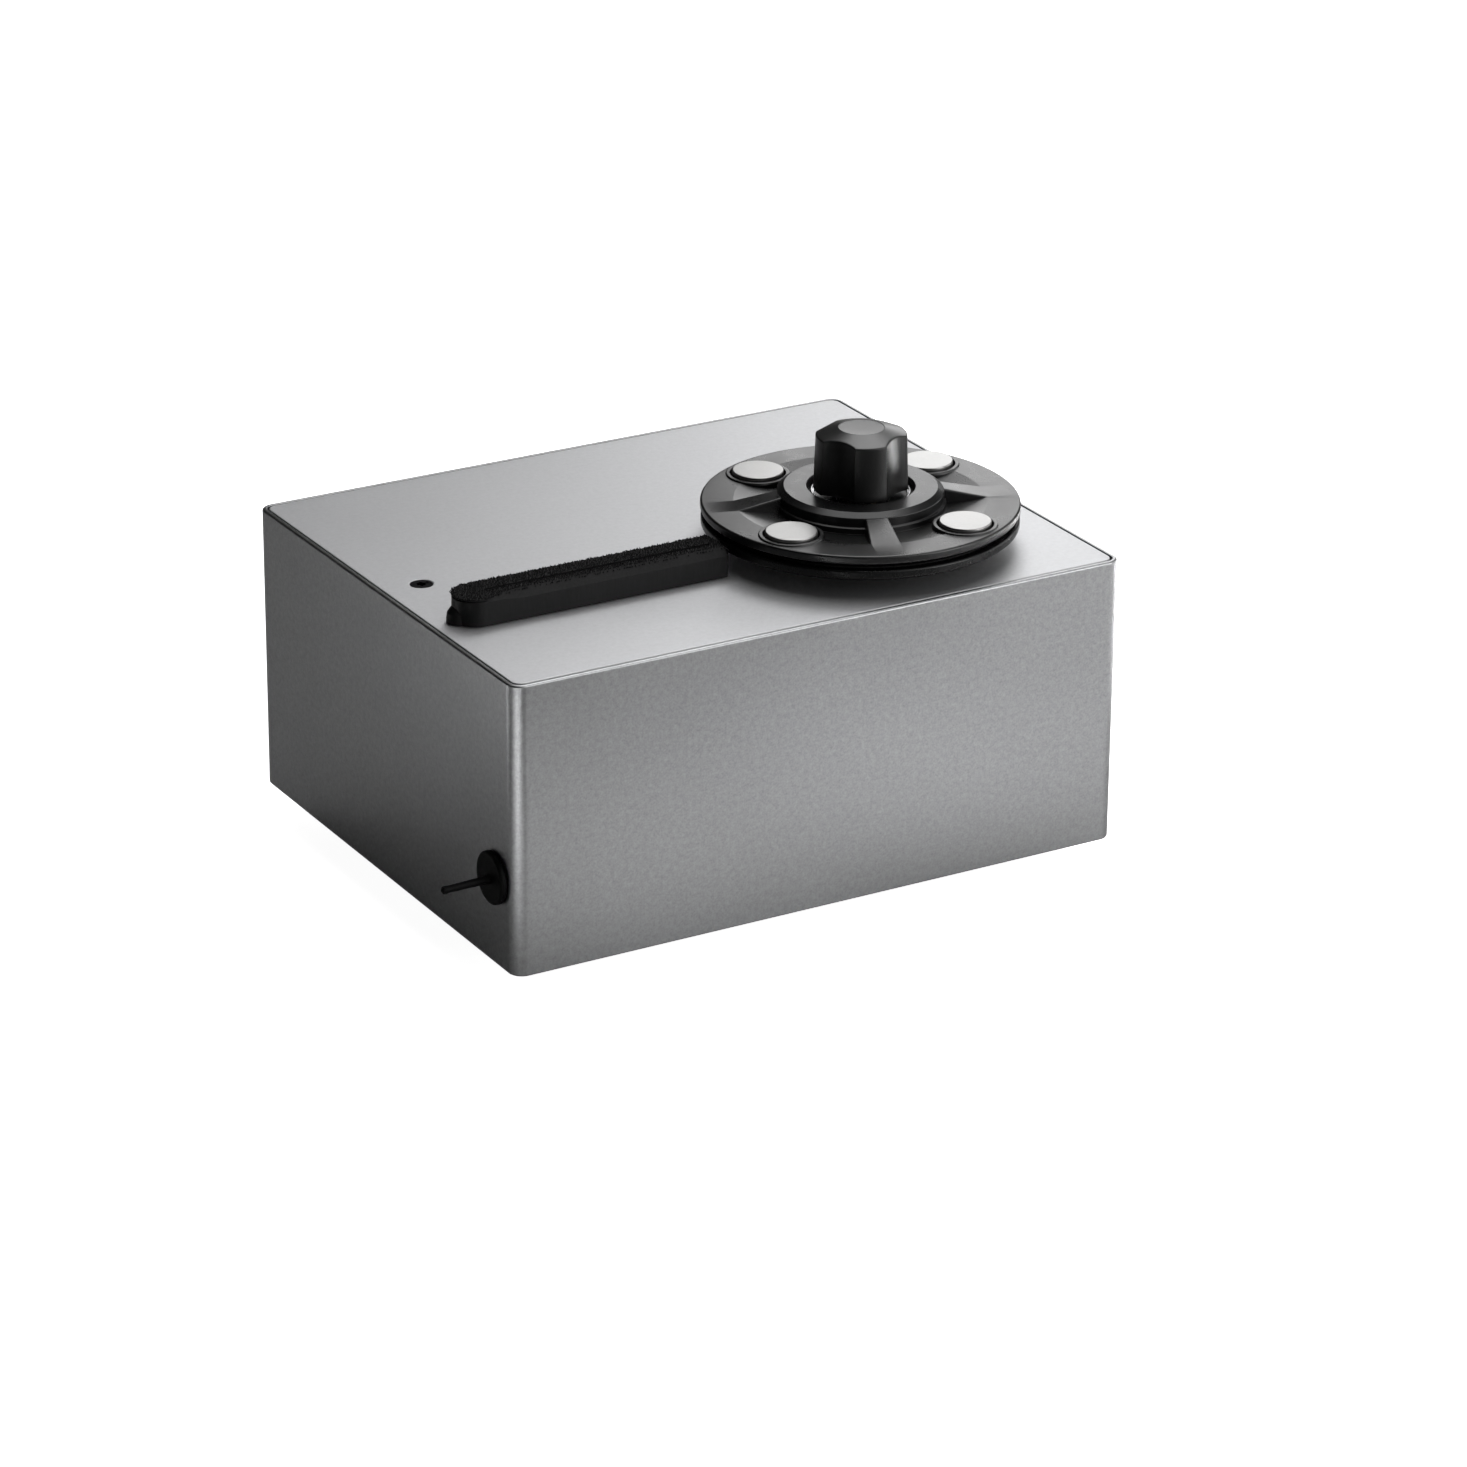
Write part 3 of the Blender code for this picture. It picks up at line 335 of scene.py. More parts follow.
# ---------------------------------------------------------------- materials
class Look:
    """A Principled material with its node tree at hand."""

    def __init__(self, name):
        self.m = bpy.data.materials.new(name)
        self.m.use_nodes = True
        self.nt = self.m.node_tree
        self.b = self.nt.nodes["Principled BSDF"]
        tc = self.nt.nodes.new("ShaderNodeTexCoord")
        mp = self.nt.nodes.new("ShaderNodeMapping")
        mp.inputs["Scale"].default_value = (1000, 1000, 1000)
        self.nt.links.new(tc.outputs["Object"], mp.inputs["Vector"])
        self.mm = mp.outputs["Vector"]          # place in millimetres

    def set(self, **kw):
        for k, v in kw.items():
            self.b.inputs[k.replace("_", " ")].default_value = v
        return self

    def node(self, kind, **kw):
        n = self.nt.nodes.new(kind)
        for k, v in kw.items():
            setattr(n, k, v)
        return n

    def link(self, a, b):
        self.nt.links.new(a, b)

    def stretched(self, scale, vector=None):
        mp = self.node("ShaderNodeMapping")
        mp.inputs["Scale"].default_value = scale
        self.link(vector or self.mm, mp.inputs["Vector"])
        return mp.outputs["Vector"]

    def noise(self, per_mm, detail=3.0, rough=0.55, vector=None, distort=0.0):
        n = self.node("ShaderNodeTexNoise")
        n.inputs["Scale"].default_value = per_mm
        n.inputs["Detail"].default_value = detail
        n.inputs["Roughness"].default_value = rough
        n.inputs["Distortion"].default_value = distort
        self.link(vector or self.mm, n.inputs["Vector"])
        return n.outputs["Fac"]

    def cells(self, per_mm, vector=None, feature="F1"):
        n = self.node("ShaderNodeTexVoronoi", feature=feature)
        n.inputs["Scale"].default_value = per_mm
        self.link(vector or self.mm, n.inputs["Vector"])
        return n.outputs["Distance"]

    def ranged(self, fac, lo, hi, a=0.3, b=0.7):
        n = self.node("ShaderNodeMapRange")
        n.inputs["From Min"].default_value, n.inputs["From Max"].default_value = a, b
        n.inputs["To Min"].default_value, n.inputs["To Max"].default_value = lo, hi
        self.link(fac, n.inputs["Value"])
        return n.outputs["Result"]

    def math(self, op, a, b=None):
        n = self.node("ShaderNodeMath", operation=op)
        for i, v in enumerate((a, b)):
            if v is None:
                continue
            if isinstance(v, (int, float)):
                n.inputs[i].default_value = v
            else:
                self.link(v, n.inputs[i])
        return n.outputs[0]

    def ramp(self, fac, stops):
        n = self.node("ShaderNodeValToRGB")
        el = n.color_ramp.elements
        while len(el) < len(stops):
            el.new(0.5)
        for e, (p, c) in zip(el, stops):
            e.position, e.color = p, (*c, 1.0)
        self.link(fac, n.inputs["Fac"])
        return n.outputs["Color"]

    def mix(self, fac, a, b):
        n = self.node("ShaderNodeMix", data_type="RGBA")
        for k, v in (("Factor", fac), ("A", a), ("B", b)):
            s = [i for i in n.inputs if i.name == k and (i.type == "RGBA" or k == "Factor")][0]
            if isinstance(v, tuple):
                s.default_value = (*v, 1.0)
            elif isinstance(v, (int, float)):
                s.default_value = v
            else:
                self.link(v, s)
        return [o for o in n.outputs if o.type == "RGBA"][0]

    def colour(self, out):
        self.link(out, self.b.inputs["Base Color"])
        return self

    def rough(self, out):
        self.link(out, self.b.inputs["Roughness"])
        return self

    def bumps(self, *layers):
        """layers are (height output, depth in mm, strength)."""
        last = None
        for h, depth, strength in layers:
            n = self.node("ShaderNodeBump")
            n.inputs["Strength"].default_value = strength
            n.inputs["Distance"].default_value = depth * 0.001
            self.link(h, n.inputs["Height"])
            if last:
                self.link(last, n.inputs["Normal"])
            last = n.outputs["Normal"]
        self.link(last, self.b.inputs["Normal"])
        return self


def scaled(c, k):
    return tuple(min(1.0, x * k) for x in c)


def blasted_metal(name, c, rough, tint=0.05, depth=0.012):
    """Bead-blasted and anodised: mottled at a millimetre, sparkling below."""
    k = Look(name).set(Metallic=1.0)
    fine, mid, wide = k.noise(1.4, 4), k.noise(0.55, 2), k.noise(0.02, 2)
    mixed = k.math("ADD", k.math("MULTIPLY", fine, 0.6), k.math("MULTIPLY", mid, 0.4))
    k.colour(k.ramp(mixed, [(0.3, scaled(c, 1 - tint)), (0.7, scaled(c, 1 + tint))]))
    r = k.math("ADD", k.ranged(fine, -0.035, 0.035), k.ranged(wide, rough - 0.015, rough + 0.015))
    k.rough(r)
    k.bumps((k.noise(2.2, 2), depth, 0.5))
    return k.m


def moulded(name, c, rough, texture=2.6, depth=0.003, var=0.25, spread=0.04, ior=1.42):
    """Moulded plastic: fine spark-eroded texture, uneven sheen."""
    k = Look(name).set(Metallic=0.0, IOR=ior)
    fine, wide = k.noise(texture, 3), k.noise(0.09, 3)
    k.colour(k.ramp(k.math("ADD", k.math("MULTIPLY", fine, 0.5), k.math("MULTIPLY", wide, 0.5)),
                    [(0.3, scaled(c, 1 - var)), (0.7, scaled(c, 1 + var))]))
    k.rough(k.math("ADD", k.ranged(wide, rough - spread, rough + spread), k.ranged(fine, -0.02, 0.02)))
    k.bumps((fine, depth, 0.5))
    return k.m


def rubber(name, c, rough=0.62, depth=0.012, ior=1.3):
    k = Look(name).set(IOR=ior)
    fine, wide = k.noise(1.8, 4, 0.6), k.noise(0.12, 3)
    dust = k.ranged(k.noise(0.5, 5, 0.7), 0.0, 1.0, 0.62, 0.8)
    base = k.ramp(fine, [(0.3, scaled(c, 0.75)), (0.7, scaled(c, 1.25))])
    k.colour(k.mix(k.math("MULTIPLY", dust, 0.05), base, scaled((0.08, 0.08, 0.078), 1.0)))
    k.rough(k.math("ADD", k.ranged(wide, rough - 0.07, rough + 0.07), k.ranged(fine, -0.04, 0.04)))
    k.bumps((fine, depth, 0.7))
    return k.m


def worked_metal(name, c, rough, grain=(0.25, 0.25, 6.0), tint=0.06, depth=0.004, spread=0.05):
    """Turned, drawn or rolled metal: streaks along the work."""
    k = Look(name).set(Metallic=1.0)
    streak = k.noise(0.9, 4, 0.6, k.stretched(grain))
    blot = k.noise(0.12, 3)
    k.colour(k.ramp(k.math("ADD", k.math("MULTIPLY", streak, 0.6), k.math("MULTIPLY", blot, 0.4)),
                    [(0.3, scaled(c, 1 - tint)), (0.7, scaled(c, 1 + tint))]))
    k.rough(k.math("ADD", k.ranged(streak, -0.05, 0.05), k.ranged(blot, rough - spread, rough + spread)))
    k.bumps((streak, depth, 0.5))
    return k.m


ALU_C = (0.345, 0.348, 0.354)
PLATE_C = (0.530, 0.533, 0.543)
M = {}
M["housing"] = blasted_metal("housing_anodised", ALU_C, 0.34, 0.20)
M["plate"] = blasted_metal("plate_anodised", PLATE_C, 0.58, 0.07)
M["post"] = worked_metal("post_extrusion", (0.50, 0.50, 0.51), 0.42)
M["clamp"] = moulded("clamp_satin_black", (0.0035, 0.0035, 0.0037), 0.30, ior=1.55)
M["platter"] = moulded("platter_satin_black", (0.003, 0.003, 0.0031), 0.28, ior=1.38)
M["knob"] = moulded("knob_satin_black", (0.003, 0.003, 0.0031), 0.32, depth=0.0015, spread=0.02, ior=1.5)
M["panel"] = moulded("fitting_black", (0.010, 0.010, 0.010), 0.45, texture=2.0, depth=0.01)
M["rocker"] = moulded("rocker_black", (0.007, 0.007, 0.007), 0.28, depth=0.003)
M["grey"] = moulded("grey_plastic", (0.15, 0.155, 0.16), 0.5, texture=1.6, depth=0.01, var=0.12)
M["tank"] = moulded("tank_plastic", (0.60, 0.62, 0.62), 0.34, texture=1.0, depth=0.008, var=0.05)
M["mat"] = rubber("mat_rubber", (0.010, 0.010, 0.010), 0.75, 0.02)
M["seal"] = rubber("seal_rubber", (0.008, 0.008, 0.008), 0.5)
M["foot"] = rubber("foot_rubber", (0.012, 0.012, 0.012), 0.68)
M["stopper"] = rubber("stopper_rubber", (0.002, 0.002, 0.0021), 0.5, 0.006, 1.18)
M["hose"] = rubber("hose_rubber", (0.02, 0.02, 0.021), 0.55)
M["belt"] = rubber("belt_rubber", (0.016, 0.016, 0.016), 0.6)
M["chrome"] = worked_metal("ring_chrome", (0.48, 0.48, 0.49), 0.26, (0.3, 0.3, 3.0), 0.03, 0.0002, 0.02)
M["steel"] = worked_metal("plated_steel", (0.55, 0.55, 0.56), 0.34)
M["spindle"] = worked_metal("spindle_steel", (0.62, 0.62, 0.63), 0.22, (0.2, 0.2, 8.0), 0.05, 0.003)
M["bronze"] = worked_metal("bearing_bronze", (0.60, 0.42, 0.20), 0.38)
M["brass"] = worked_metal("insert_brass", (0.74, 0.58, 0.27), 0.3, (0.4, 0.4, 5.0))
M["screw"] = worked_metal("screw_black_oxide", (0.030, 0.030, 0.032), 0.3, (0.6, 0.6, 2.0), 0.3, 0.004)


def arm_look():
    """Drawn black arm: faint upright streaks down its sides."""
    k = Look("arm_black").set(IOR=1.25)
    streak = k.noise(1.3, 4, 0.6, k.stretched((1.0, 1.0, 0.12)))
    wide = k.noise(0.08, 3)
    k.colour(k.ramp(k.math("ADD", k.math("MULTIPLY", streak, 0.6), k.math("MULTIPLY", wide, 0.4)),
                    [(0.3, (0.006, 0.006, 0.0062)), (0.7, (0.0135, 0.0135, 0.0138))]))
    k.rough(k.math("ADD", k.ranged(wide, 0.36, 0.46), k.ranged(streak, -0.05, 0.05)))
    k.bumps((streak, 0.006, 0.6))
    return k.m


M["arm"] = arm_look()


def magnet_look():
    """Satin nickel plate with faint handling marks."""
    k = Look("magnet_nickel").set(Metallic=1.0)
    fine, wide = k.noise(1.2, 4), k.noise(0.16, 3)
    marks = k.ranged(k.noise(0.9, 2, 0.5, k.stretched((0.25, 3.0, 1.0))), 0.0, 1.0, 0.60, 0.72)
    k.colour(k.mix(k.math("MULTIPLY", marks, 0.05),
                   k.ramp(fine, [(0.3, (0.345, 0.343, 0.338)), (0.7, (0.375, 0.372, 0.367))]), (0.29, 0.29, 0.29)))
    k.rough(k.math("ADD", k.ranged(wide, 0.30, 0.35), k.ranged(fine, -0.01, 0.01)))
    k.bumps((fine, 0.0006, 0.5))
    return k.m


def zinc_look():
    """Galvanised sheet with its spangle."""
    k = Look("zinc_sheet").set(Metallic=1.0)
    n = k.node("ShaderNodeTexVoronoi")
    n.inputs["Scale"].default_value = 0.16
    k.link(k.mm, n.inputs["Vector"])
    bw = k.node("ShaderNodeRGBToBW")
    k.link(n.outputs["Color"], bw.inputs["Color"])
    k.colour(k.ramp(bw.outputs["Val"], [(0.2, (0.40, 0.41, 0.43)), (0.8, (0.52, 0.53, 0.55))]))
    k.rough(k.ranged(bw.outputs["Val"], 0.36, 0.55, 0.1, 0.9))
    k.bumps((k.noise(1.0, 4), 0.006, 0.5))
    return k.m


def board_look():
    """Circuit board: solder mask with tracks."""
    k = Look("circuit_board")
    n = k.node("ShaderNodeTexBrick")
    n.inputs["Scale"].default_value = 0.12
    n.inputs["Mortar Size"].default_value = 0.03
    n.inputs["Color1"].default_value = (0.010, 0.085, 0.035, 1)
    n.inputs["Color2"].default_value = (0.012, 0.100, 0.042, 1)
    n.inputs["Mortar"].default_value = (0.05, 0.20, 0.08, 1)
    k.link(k.mm, n.inputs["Vector"])
    k.colour(n.outputs["Color"])
    k.rough(k.ranged(k.noise(0.6, 3), 0.28, 0.42))
    k.bumps((n.outputs["Fac"], 0.05, 0.4))
    return k.m


def core_look():
    """Laminated transformer core."""
    k = Look("transformer_core").set(Metallic=1.0)
    lam = k.node("ShaderNodeTexWave", wave_type="BANDS", bands_direction="Y")
    lam.inputs["Scale"].default_value = 0.5
    lam.inputs["Distortion"].default_value = 0.3
    k.link(k.mm, lam.inputs["Vector"])
    k.colour(k.ramp(lam.outputs["Fac"], [(0.2, (0.20, 0.20, 0.21)), (0.9, (0.34, 0.34, 0.35))]))
    k.rough(k.ranged(k.noise(0.8, 3), 0.4, 0.6))
    k.bumps((lam.outputs["Fac"], 0.08, 0.5))
    return k.m


def pile_look(name, c, rough=0.9, spec=0.12):
    """Black velvet pile: dark between the tufts, a little sheen on them."""
    k = Look(name)
    fine, mid = k.noise(1.9, 4, 0.65), k.noise(0.45, 3)
    k.colour(k.ramp(k.math("ADD", k.math("MULTIPLY", fine, 0.65), k.math("MULTIPLY", mid, 0.35)),
                    [(0.32, scaled(c, 0.4)), (0.5, c), (0.7, scaled(c, 2.0))]))
    k.rough(k.ranged(fine, rough - 0.08, rough + 0.08))
    k.bumps((fine, 0.08, 0.6))
    k.b.inputs["Specular IOR Level"].default_value = spec
    k.set(Sheen_Weight=0.05, Sheen_Roughness=0.4)
    return k.m


M["magnet"] = magnet_look()
M["zinc"] = zinc_look()
M["board"] = board_look()
M["core"] = core_look()
M["velvet"] = pile_look("arm_velvet", (0.0038, 0.0038, 0.0041))
M["backing"] = pile_look("velvet_backing", (0.0085, 0.0085, 0.0088), 0.85, 0.25)
M["mark"] = moulded("printed_mark", (0.62, 0.62, 0.60), 0.55, var=0.06)
M["pin"] = worked_metal("inlet_pins", (0.62, 0.60, 0.56), 0.28)

CARRIED = {
    "base_plate": "zinc", "plate_bracket_left": "steel", "plate_bracket_right": "steel",
    "spindle_bearing": "bronze", "platter_pulley": "grey", "drive_belt": "belt",
    "motor_pulley": "brass", "motor_shaft": "spindle", "drive_motor": "steel", "motor_bracket": "zinc",
    "knob_insert": "brass", "suction_port": "grey", "suction_hose": "hose", "waste_tank": "tank",
    "tank_lid": "grey", "vacuum_hose": "hose", "blower_housing": "grey", "impeller": "grey",
    "vacuum_motor": "steel", "vacuum_motor_mount": "foot", "circuit_board": "board", "transformer": "core",
    "corner_post_front_left": "post", "corner_post_front_right": "post",
    "corner_post_rear_left": "post", "corner_post_rear_right": "post",
}
for n, key in CARRIED.items():
    me = NODES[n].data
    me.materials.clear()
    me.materials.append(M[key])
    me.shade_smooth()
    me.set_sharp_from_angle(angle=math.radians(35))

# =================================================================== housing


def band(d, n=14):
    r = max(R_CORNER - d, 0.05)
    return rounded(d, W - d, d, D - d, r, n)


section = arc_corners([(0.0, 0.0), (0.0, H), (WALL, H), (WALL, 0.0)], [0.60, 0.85, 0.25, 0.25], 7)
verts, rings = [], []
for d, z in section:
    lp = band(d)
    rings.append(list(range(len(verts), len(verts) + len(lp))))
    verts += [(x, y, z) for x, y in lp]
faces = []
for a, b in zip(rings, rings[1:] + rings[:1]):
    for i in range(len(a)):
        j = (i + 1) % len(a)
        faces.append((a[i], a[j], b[j], b[i]))
wrap = make("housing_band", verts, faces)
cut(wrap,
    lathe("c1", [(0, -8), (7.4, -8), (7.0, -WALL / 2), (7.0, 0.5), (0, 0.5)], (0, *DRAIN), 48, "-X", False),
    prism("c2", rounded(SW_Y - 17.3, SW_Y + 17.3, SW_Z - 12.3, SW_Z + 12.3, 1.0, 3), W - 6, W + 6,
          axis="X", origin=(0, 0, 0)),
    box("c3", IN_X - 23.3, IN_X + 23.3, D - 6, D + 6, IN_Z - 12.3, IN_Z + 12.3),
    box("c4", BX + 7, BX + 35, D - 6, D + 6, 43, 67))
done(wrap, "chassis", M["housing"], ["housing_wrap"], 28)

# top plate with its countersinks
SCREWS = ((15.9, 94.0), (W - 15.9, 94.0))
plate = prism("top_panel", rounded(PLATE_IN, W - PLATE_IN, PLATE_IN, D - PLATE_IN, 3.5, 10), H - PLATE_T, H,
              0.2, 0.32, n=4)
cut(plate,
    lathe("c1", [(0, 2), (9.4, 2), (9.4, -6), (0, -6)], (SX, SY, H), 64, "Z", False),
    lathe("c2", [(0, 2), (7.0, 2), (7.0, -6), (0, -6)], (PORT_X, ARM_Y, H), 48, "Z", False),
    *[lathe("c3", [(0, 1), (4.6, 1)] + arc_corners([(4.6, 1), (4.32, 0.02), (4.12, -0.06), (2.3, -1.85)],
                                                   [0, 0.1, 0.2, 0], 2, False)[1:] + [(2.3, -6), (0, -6)],
            (x, y, H), 56, "Z", False) for x, y in SCREWS])
done(plate, "chassis", M["plate"], ["top_plate"], 25)

for side, (x, y) in zip(("left", "right"), SCREWS):
    head = lathe("plate_screw_" + side, [(0, -0.16)] + arc_corners(
        [(0, -0.16), (3.9, -0.16), (3.84, -0.42), (1.9, -2.3), (1.9, -9.6), (1.2, -10.3), (0, -10.3)],
        [0, 0.14, 0.1, 0.2, 0.1, 0.1, 0], 3, False)[1:], (x, y, H), 48, "Z", False)
    star = []
    for i in range(12):
        r = 1.9 if i % 2 == 0 else 1.32
        star.append((x + r * math.cos(math.radians(30 * i + 12)), y + r * math.sin(math.radians(30 * i + 12))))
    star = arc_corners(star, 0.32, 3)
    cut(head, prism("star", star, H - 1.9, H + 1))
    done(head, "chassis", M["screw"], ["top_screw_" + side], 30)

# feet and the screws of the base
for n in ("front_left", "front_right", "rear_left", "rear_right"):
    lo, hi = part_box("foot_" + n)
    c = (lo + hi) / 2
    ox, oy = c.x * 1000 + XC, c.y * 1000 + YC
    z = -(FOOT_H + BASE_Z)
    foot = lathe("rubber_foot_" + n, arc_corners(
        [(0, 6.5), (2.6, 6.5), (4.0, 4.2), (3.9, BASE_T + 0.3), (2.9, BASE_T + 0.2), (2.9, -GAP), (10.8, -GAP),
         (10.6, -2.6), (9.6, -4.0), (9.4, z + 0.8), (8.8, z), (5.0, z), (4.4, z + 1.6), (0, z + 1.6)],
        [0, 0.5, 0.5, 0.3, 0, 0, 0.8, 0.8, 0.8, 0.5, 0.4, 0.3, 0.4, 0], 3, False), (ox, oy, BASE_Z), 56, "Z", False)
    done(foot, "chassis", M["foot"], ["foot_" + n])
    lo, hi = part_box("base_screw_" + n)
    c = (lo + hi) / 2
    ox, oy = c.x * 1000 + XC, c.y * 1000 + YC
    scr = lathe("pan_screw_" + n, arc_corners(
        [(0, 10.0), (1.45, 10.0), (1.45, -GAP), (3.3, -GAP), (3.0, -1.9), (0, -2.2)],
        [0, 0.3, 0, 0.3, 0.9, 0], 3, False), (ox, oy, BASE_Z), 36, "Z", False)
    cut(scr, box("slot", ox - 2.2, ox + 2.2, oy - 0.35, oy + 0.35, BASE_Z - 4, BASE_Z - 1.2),
        box("slot2", ox - 0.35, ox + 0.35, oy - 2.2, oy + 2.2, BASE_Z - 4, BASE_Z - 1.2))
    done(scr, "chassis", M["steel"], ["base_screw_" + n])

# =================================================================== platter
O = (SX, SY, H)
done(lathe("record_platter", arc_corners(
    [(3.9, 9.0), (50.7, 9.0), (50.7, 10.0), (R_PLAT, 10.0), (R_PLAT, 7.2), (52.3, 6.4), (14.5, 6.2), (14.5, 1.4),
     (3.9, 1.4)], [0.2, 0.2, 0.3, 0.75, 0.7, 0.8, 0.5, 0.5, 0.2], 5), O, 160),
    "platter", M["platter"], ["platter"])
mat_prof = [(5.0, 9.3), (5.0, 10.2)]
r = 8.0
while r < 48.5:
    mat_prof += [(r, 10.2), (r + 0.25, 10.02), (r + 0.95, 10.02), (r + 1.2, 10.2)]
    r += 2.4
mat_prof += [(50.1, 10.2), (50.1, 9.3)]
done(lathe("label_mat", mat_prof, O, 128), "platter", M["mat"], ["platter_mat"])
done(lathe("record_spindle", arc_corners(
    [(0, 33.0), (2.7, 33.0), (R_SPIN, 31.2), (R_SPIN, -38.6), (2.9, -39.4), (0, -39.4)],
    [0, 0.9, 0.9, 0.2, 0.2, 0], 4, False), O, 64, "Z", False),
    "platter", M["spindle"], ["spindle"])

# ===================================================================== clamp
clamp = lathe("label_clamp", arc_corners(
    [(4.2, 12.1), (4.2, 17.2), (18.1, 17.2), (18.1, 20.0), (25.8, 20.0), (28.0, 18.5), (28.05, 15.5), (28.7, 15.12),
     (28.8, 13.3), (29.4, 13.3), (42.5, 15.1), (R_CLAMP, 15.1), (R_CLAMP, 12.1), (51.4, 12.1), (51.4, 12.9),
     (48.6, 12.9), (48.6, 12.1)],
    [0.2, 0.2, 0.3, 0.45, 0.25, 0.35, 0.15, 0.12, 0.12, 0.15, 0.12, 0.75, 0.8, 0.2, 0.1, 0.1, 0.2], 4), O, 176)
ribs = []
for k in range(4):
    bm = bmesh.new()
    bmesh.ops.create_cube(bm, size=1.0)
    for v in bm.verts:
        out, side, up = v.co.x > 0, (1 if v.co.y > 0 else -1), v.co.z > 0
        v.co = Vector((43.9 if out else 26.4, side * (5.25 if out else 3.75) + (0 if up else side * 0.35),
                       (14.84 if out else 18.73) if up else 13.3))
    top = [e for e in bm.edges if all(v.co.z > 14 for v in e.verts) and abs(e.verts[0].co.y - e.verts[1].co.y) < 3]
    bmesh.ops.bevel(bm, geom=top, offset=0.55, segments=4, profile=0.5, affect="EDGES")
    a = math.radians(RIB_A + 90 * k)
    rot = Matrix.Rotation(a, 4, "Z")
    for v in bm.verts:
        q = rot @ v.co
        v.co = P(SX + q.x, SY + q.y, H + q.z)
    me = bpy.data.meshes.new("rib")
    bm.to_mesh(me)
    bm.free()
    ob = bpy.data.objects.new("rib_%d" % k, me)
    bpy.context.scene.collection.objects.link(ob)
    ribs.append(ob)
MAGS = [(SX + MAG_R * math.cos(math.radians(MAG_A + 90 * k)), SY + MAG_R * math.sin(math.radians(MAG_A + 90 * k)))
        for k in range(4)]
cups = [lathe("cup", arc_corners([(0, 12.95), (11.15, 12.95), (11.1, 14.9), (10.75, 15.6), (0, 15.6)],
                                 [0, 0, 0.3, 0.35, 0], 4, False), (x, y, H), 72, "Z", False) for x, y in MAGS]
fuse(clamp, *ribs, *cups)
cut(clamp, *[lathe("hole", arc_corners([(0, 13.3), (9.5, 13.3), (9.5, 15.45), (9.75, 15.75), (9.75, 17), (0, 17)],
                                       [0, 0.3, 0.2, 0, 0, 0], 3, False), (x, y, H), 72, "Z", False)
             for x, y in MAGS])
done(clamp, "clamp", M["clamp"], ["clamp_disc"], 34)
for k, (x, y) in enumerate(MAGS):
    done(lathe("clamp_magnet_%d" % (k + 1), arc_corners(
        [(0, 16.7), (8.75, 16.7), (8.75, 13.6), (0, 13.6)], [0, 0.45, 0.4, 0], 6, False), (x, y, H), 72, "Z", False),
        "clamp", M["magnet"], ["magnet_%d" % (k + 1)])
done(lathe("clamp_gasket", arc_corners([(49.0, 12.6), (51.0, 12.6), (50.6, 11.5), (49.4, 11.5)], 0.3, 4), O, 128),
     "clamp", M["seal"], ["label_seal"])
done(lathe("trim_ring", arc_corners(
    [(15.6, 18.0), (16.2, 18.05), (16.25, 18.45), (16.8, 18.45), (16.95, 17.5), (15.6, 17.5)],
    [0.1, 0.15, 0.34, 0.34, 0.1, 0.1], 6), O, 128), "clamp", M["chrome"], ["hub_ring"])


# knob: four lobes, four shallow finger flutes, a low turned cone on top
def knob_loop(r, sag=1.25, lobe=20.5, edge=0.25, lip=0.0):
    """Outline at lobe radius r; lip draws it in evenly at a rounded rim."""
    pts, rad = [], []
    for k in range(4):
        c = KNOB_A + 90 * k
        for i in range(15):
            a = math.radians(c - lobe + 2 * lobe * i / 14)
            pts.append((r * math.cos(a), r * math.sin(a)))
            rad.append(edge if i in (0, 14) else 0)
        a0, a1 = math.radians(c + lobe), math.radians(c + 90 - lobe)
        p0 = Vector((r * math.cos(a0), r * math.sin(a0)))
        p1 = Vector((r * math.cos(a1), r * math.sin(a1)))
        mid, half = (p0 + p1) / 2, (p1 - p0).length / 2
        inward = -mid.normalized()
        big = (half * half + sag * sag) / (2 * sag)
        for i in range(1, 22):
            s = -half + 2 * half * i / 22
            depth = math.sqrt(big * big - s * s) - (big - sag)
            q = mid + (p1 - p0).normalized() * s + inward * depth
            pts.append((q.x, q.y))
            rad.append(0)
    loop = arc_corners(pts, rad, 4)
    return inset(loop, lip) if lip else loop


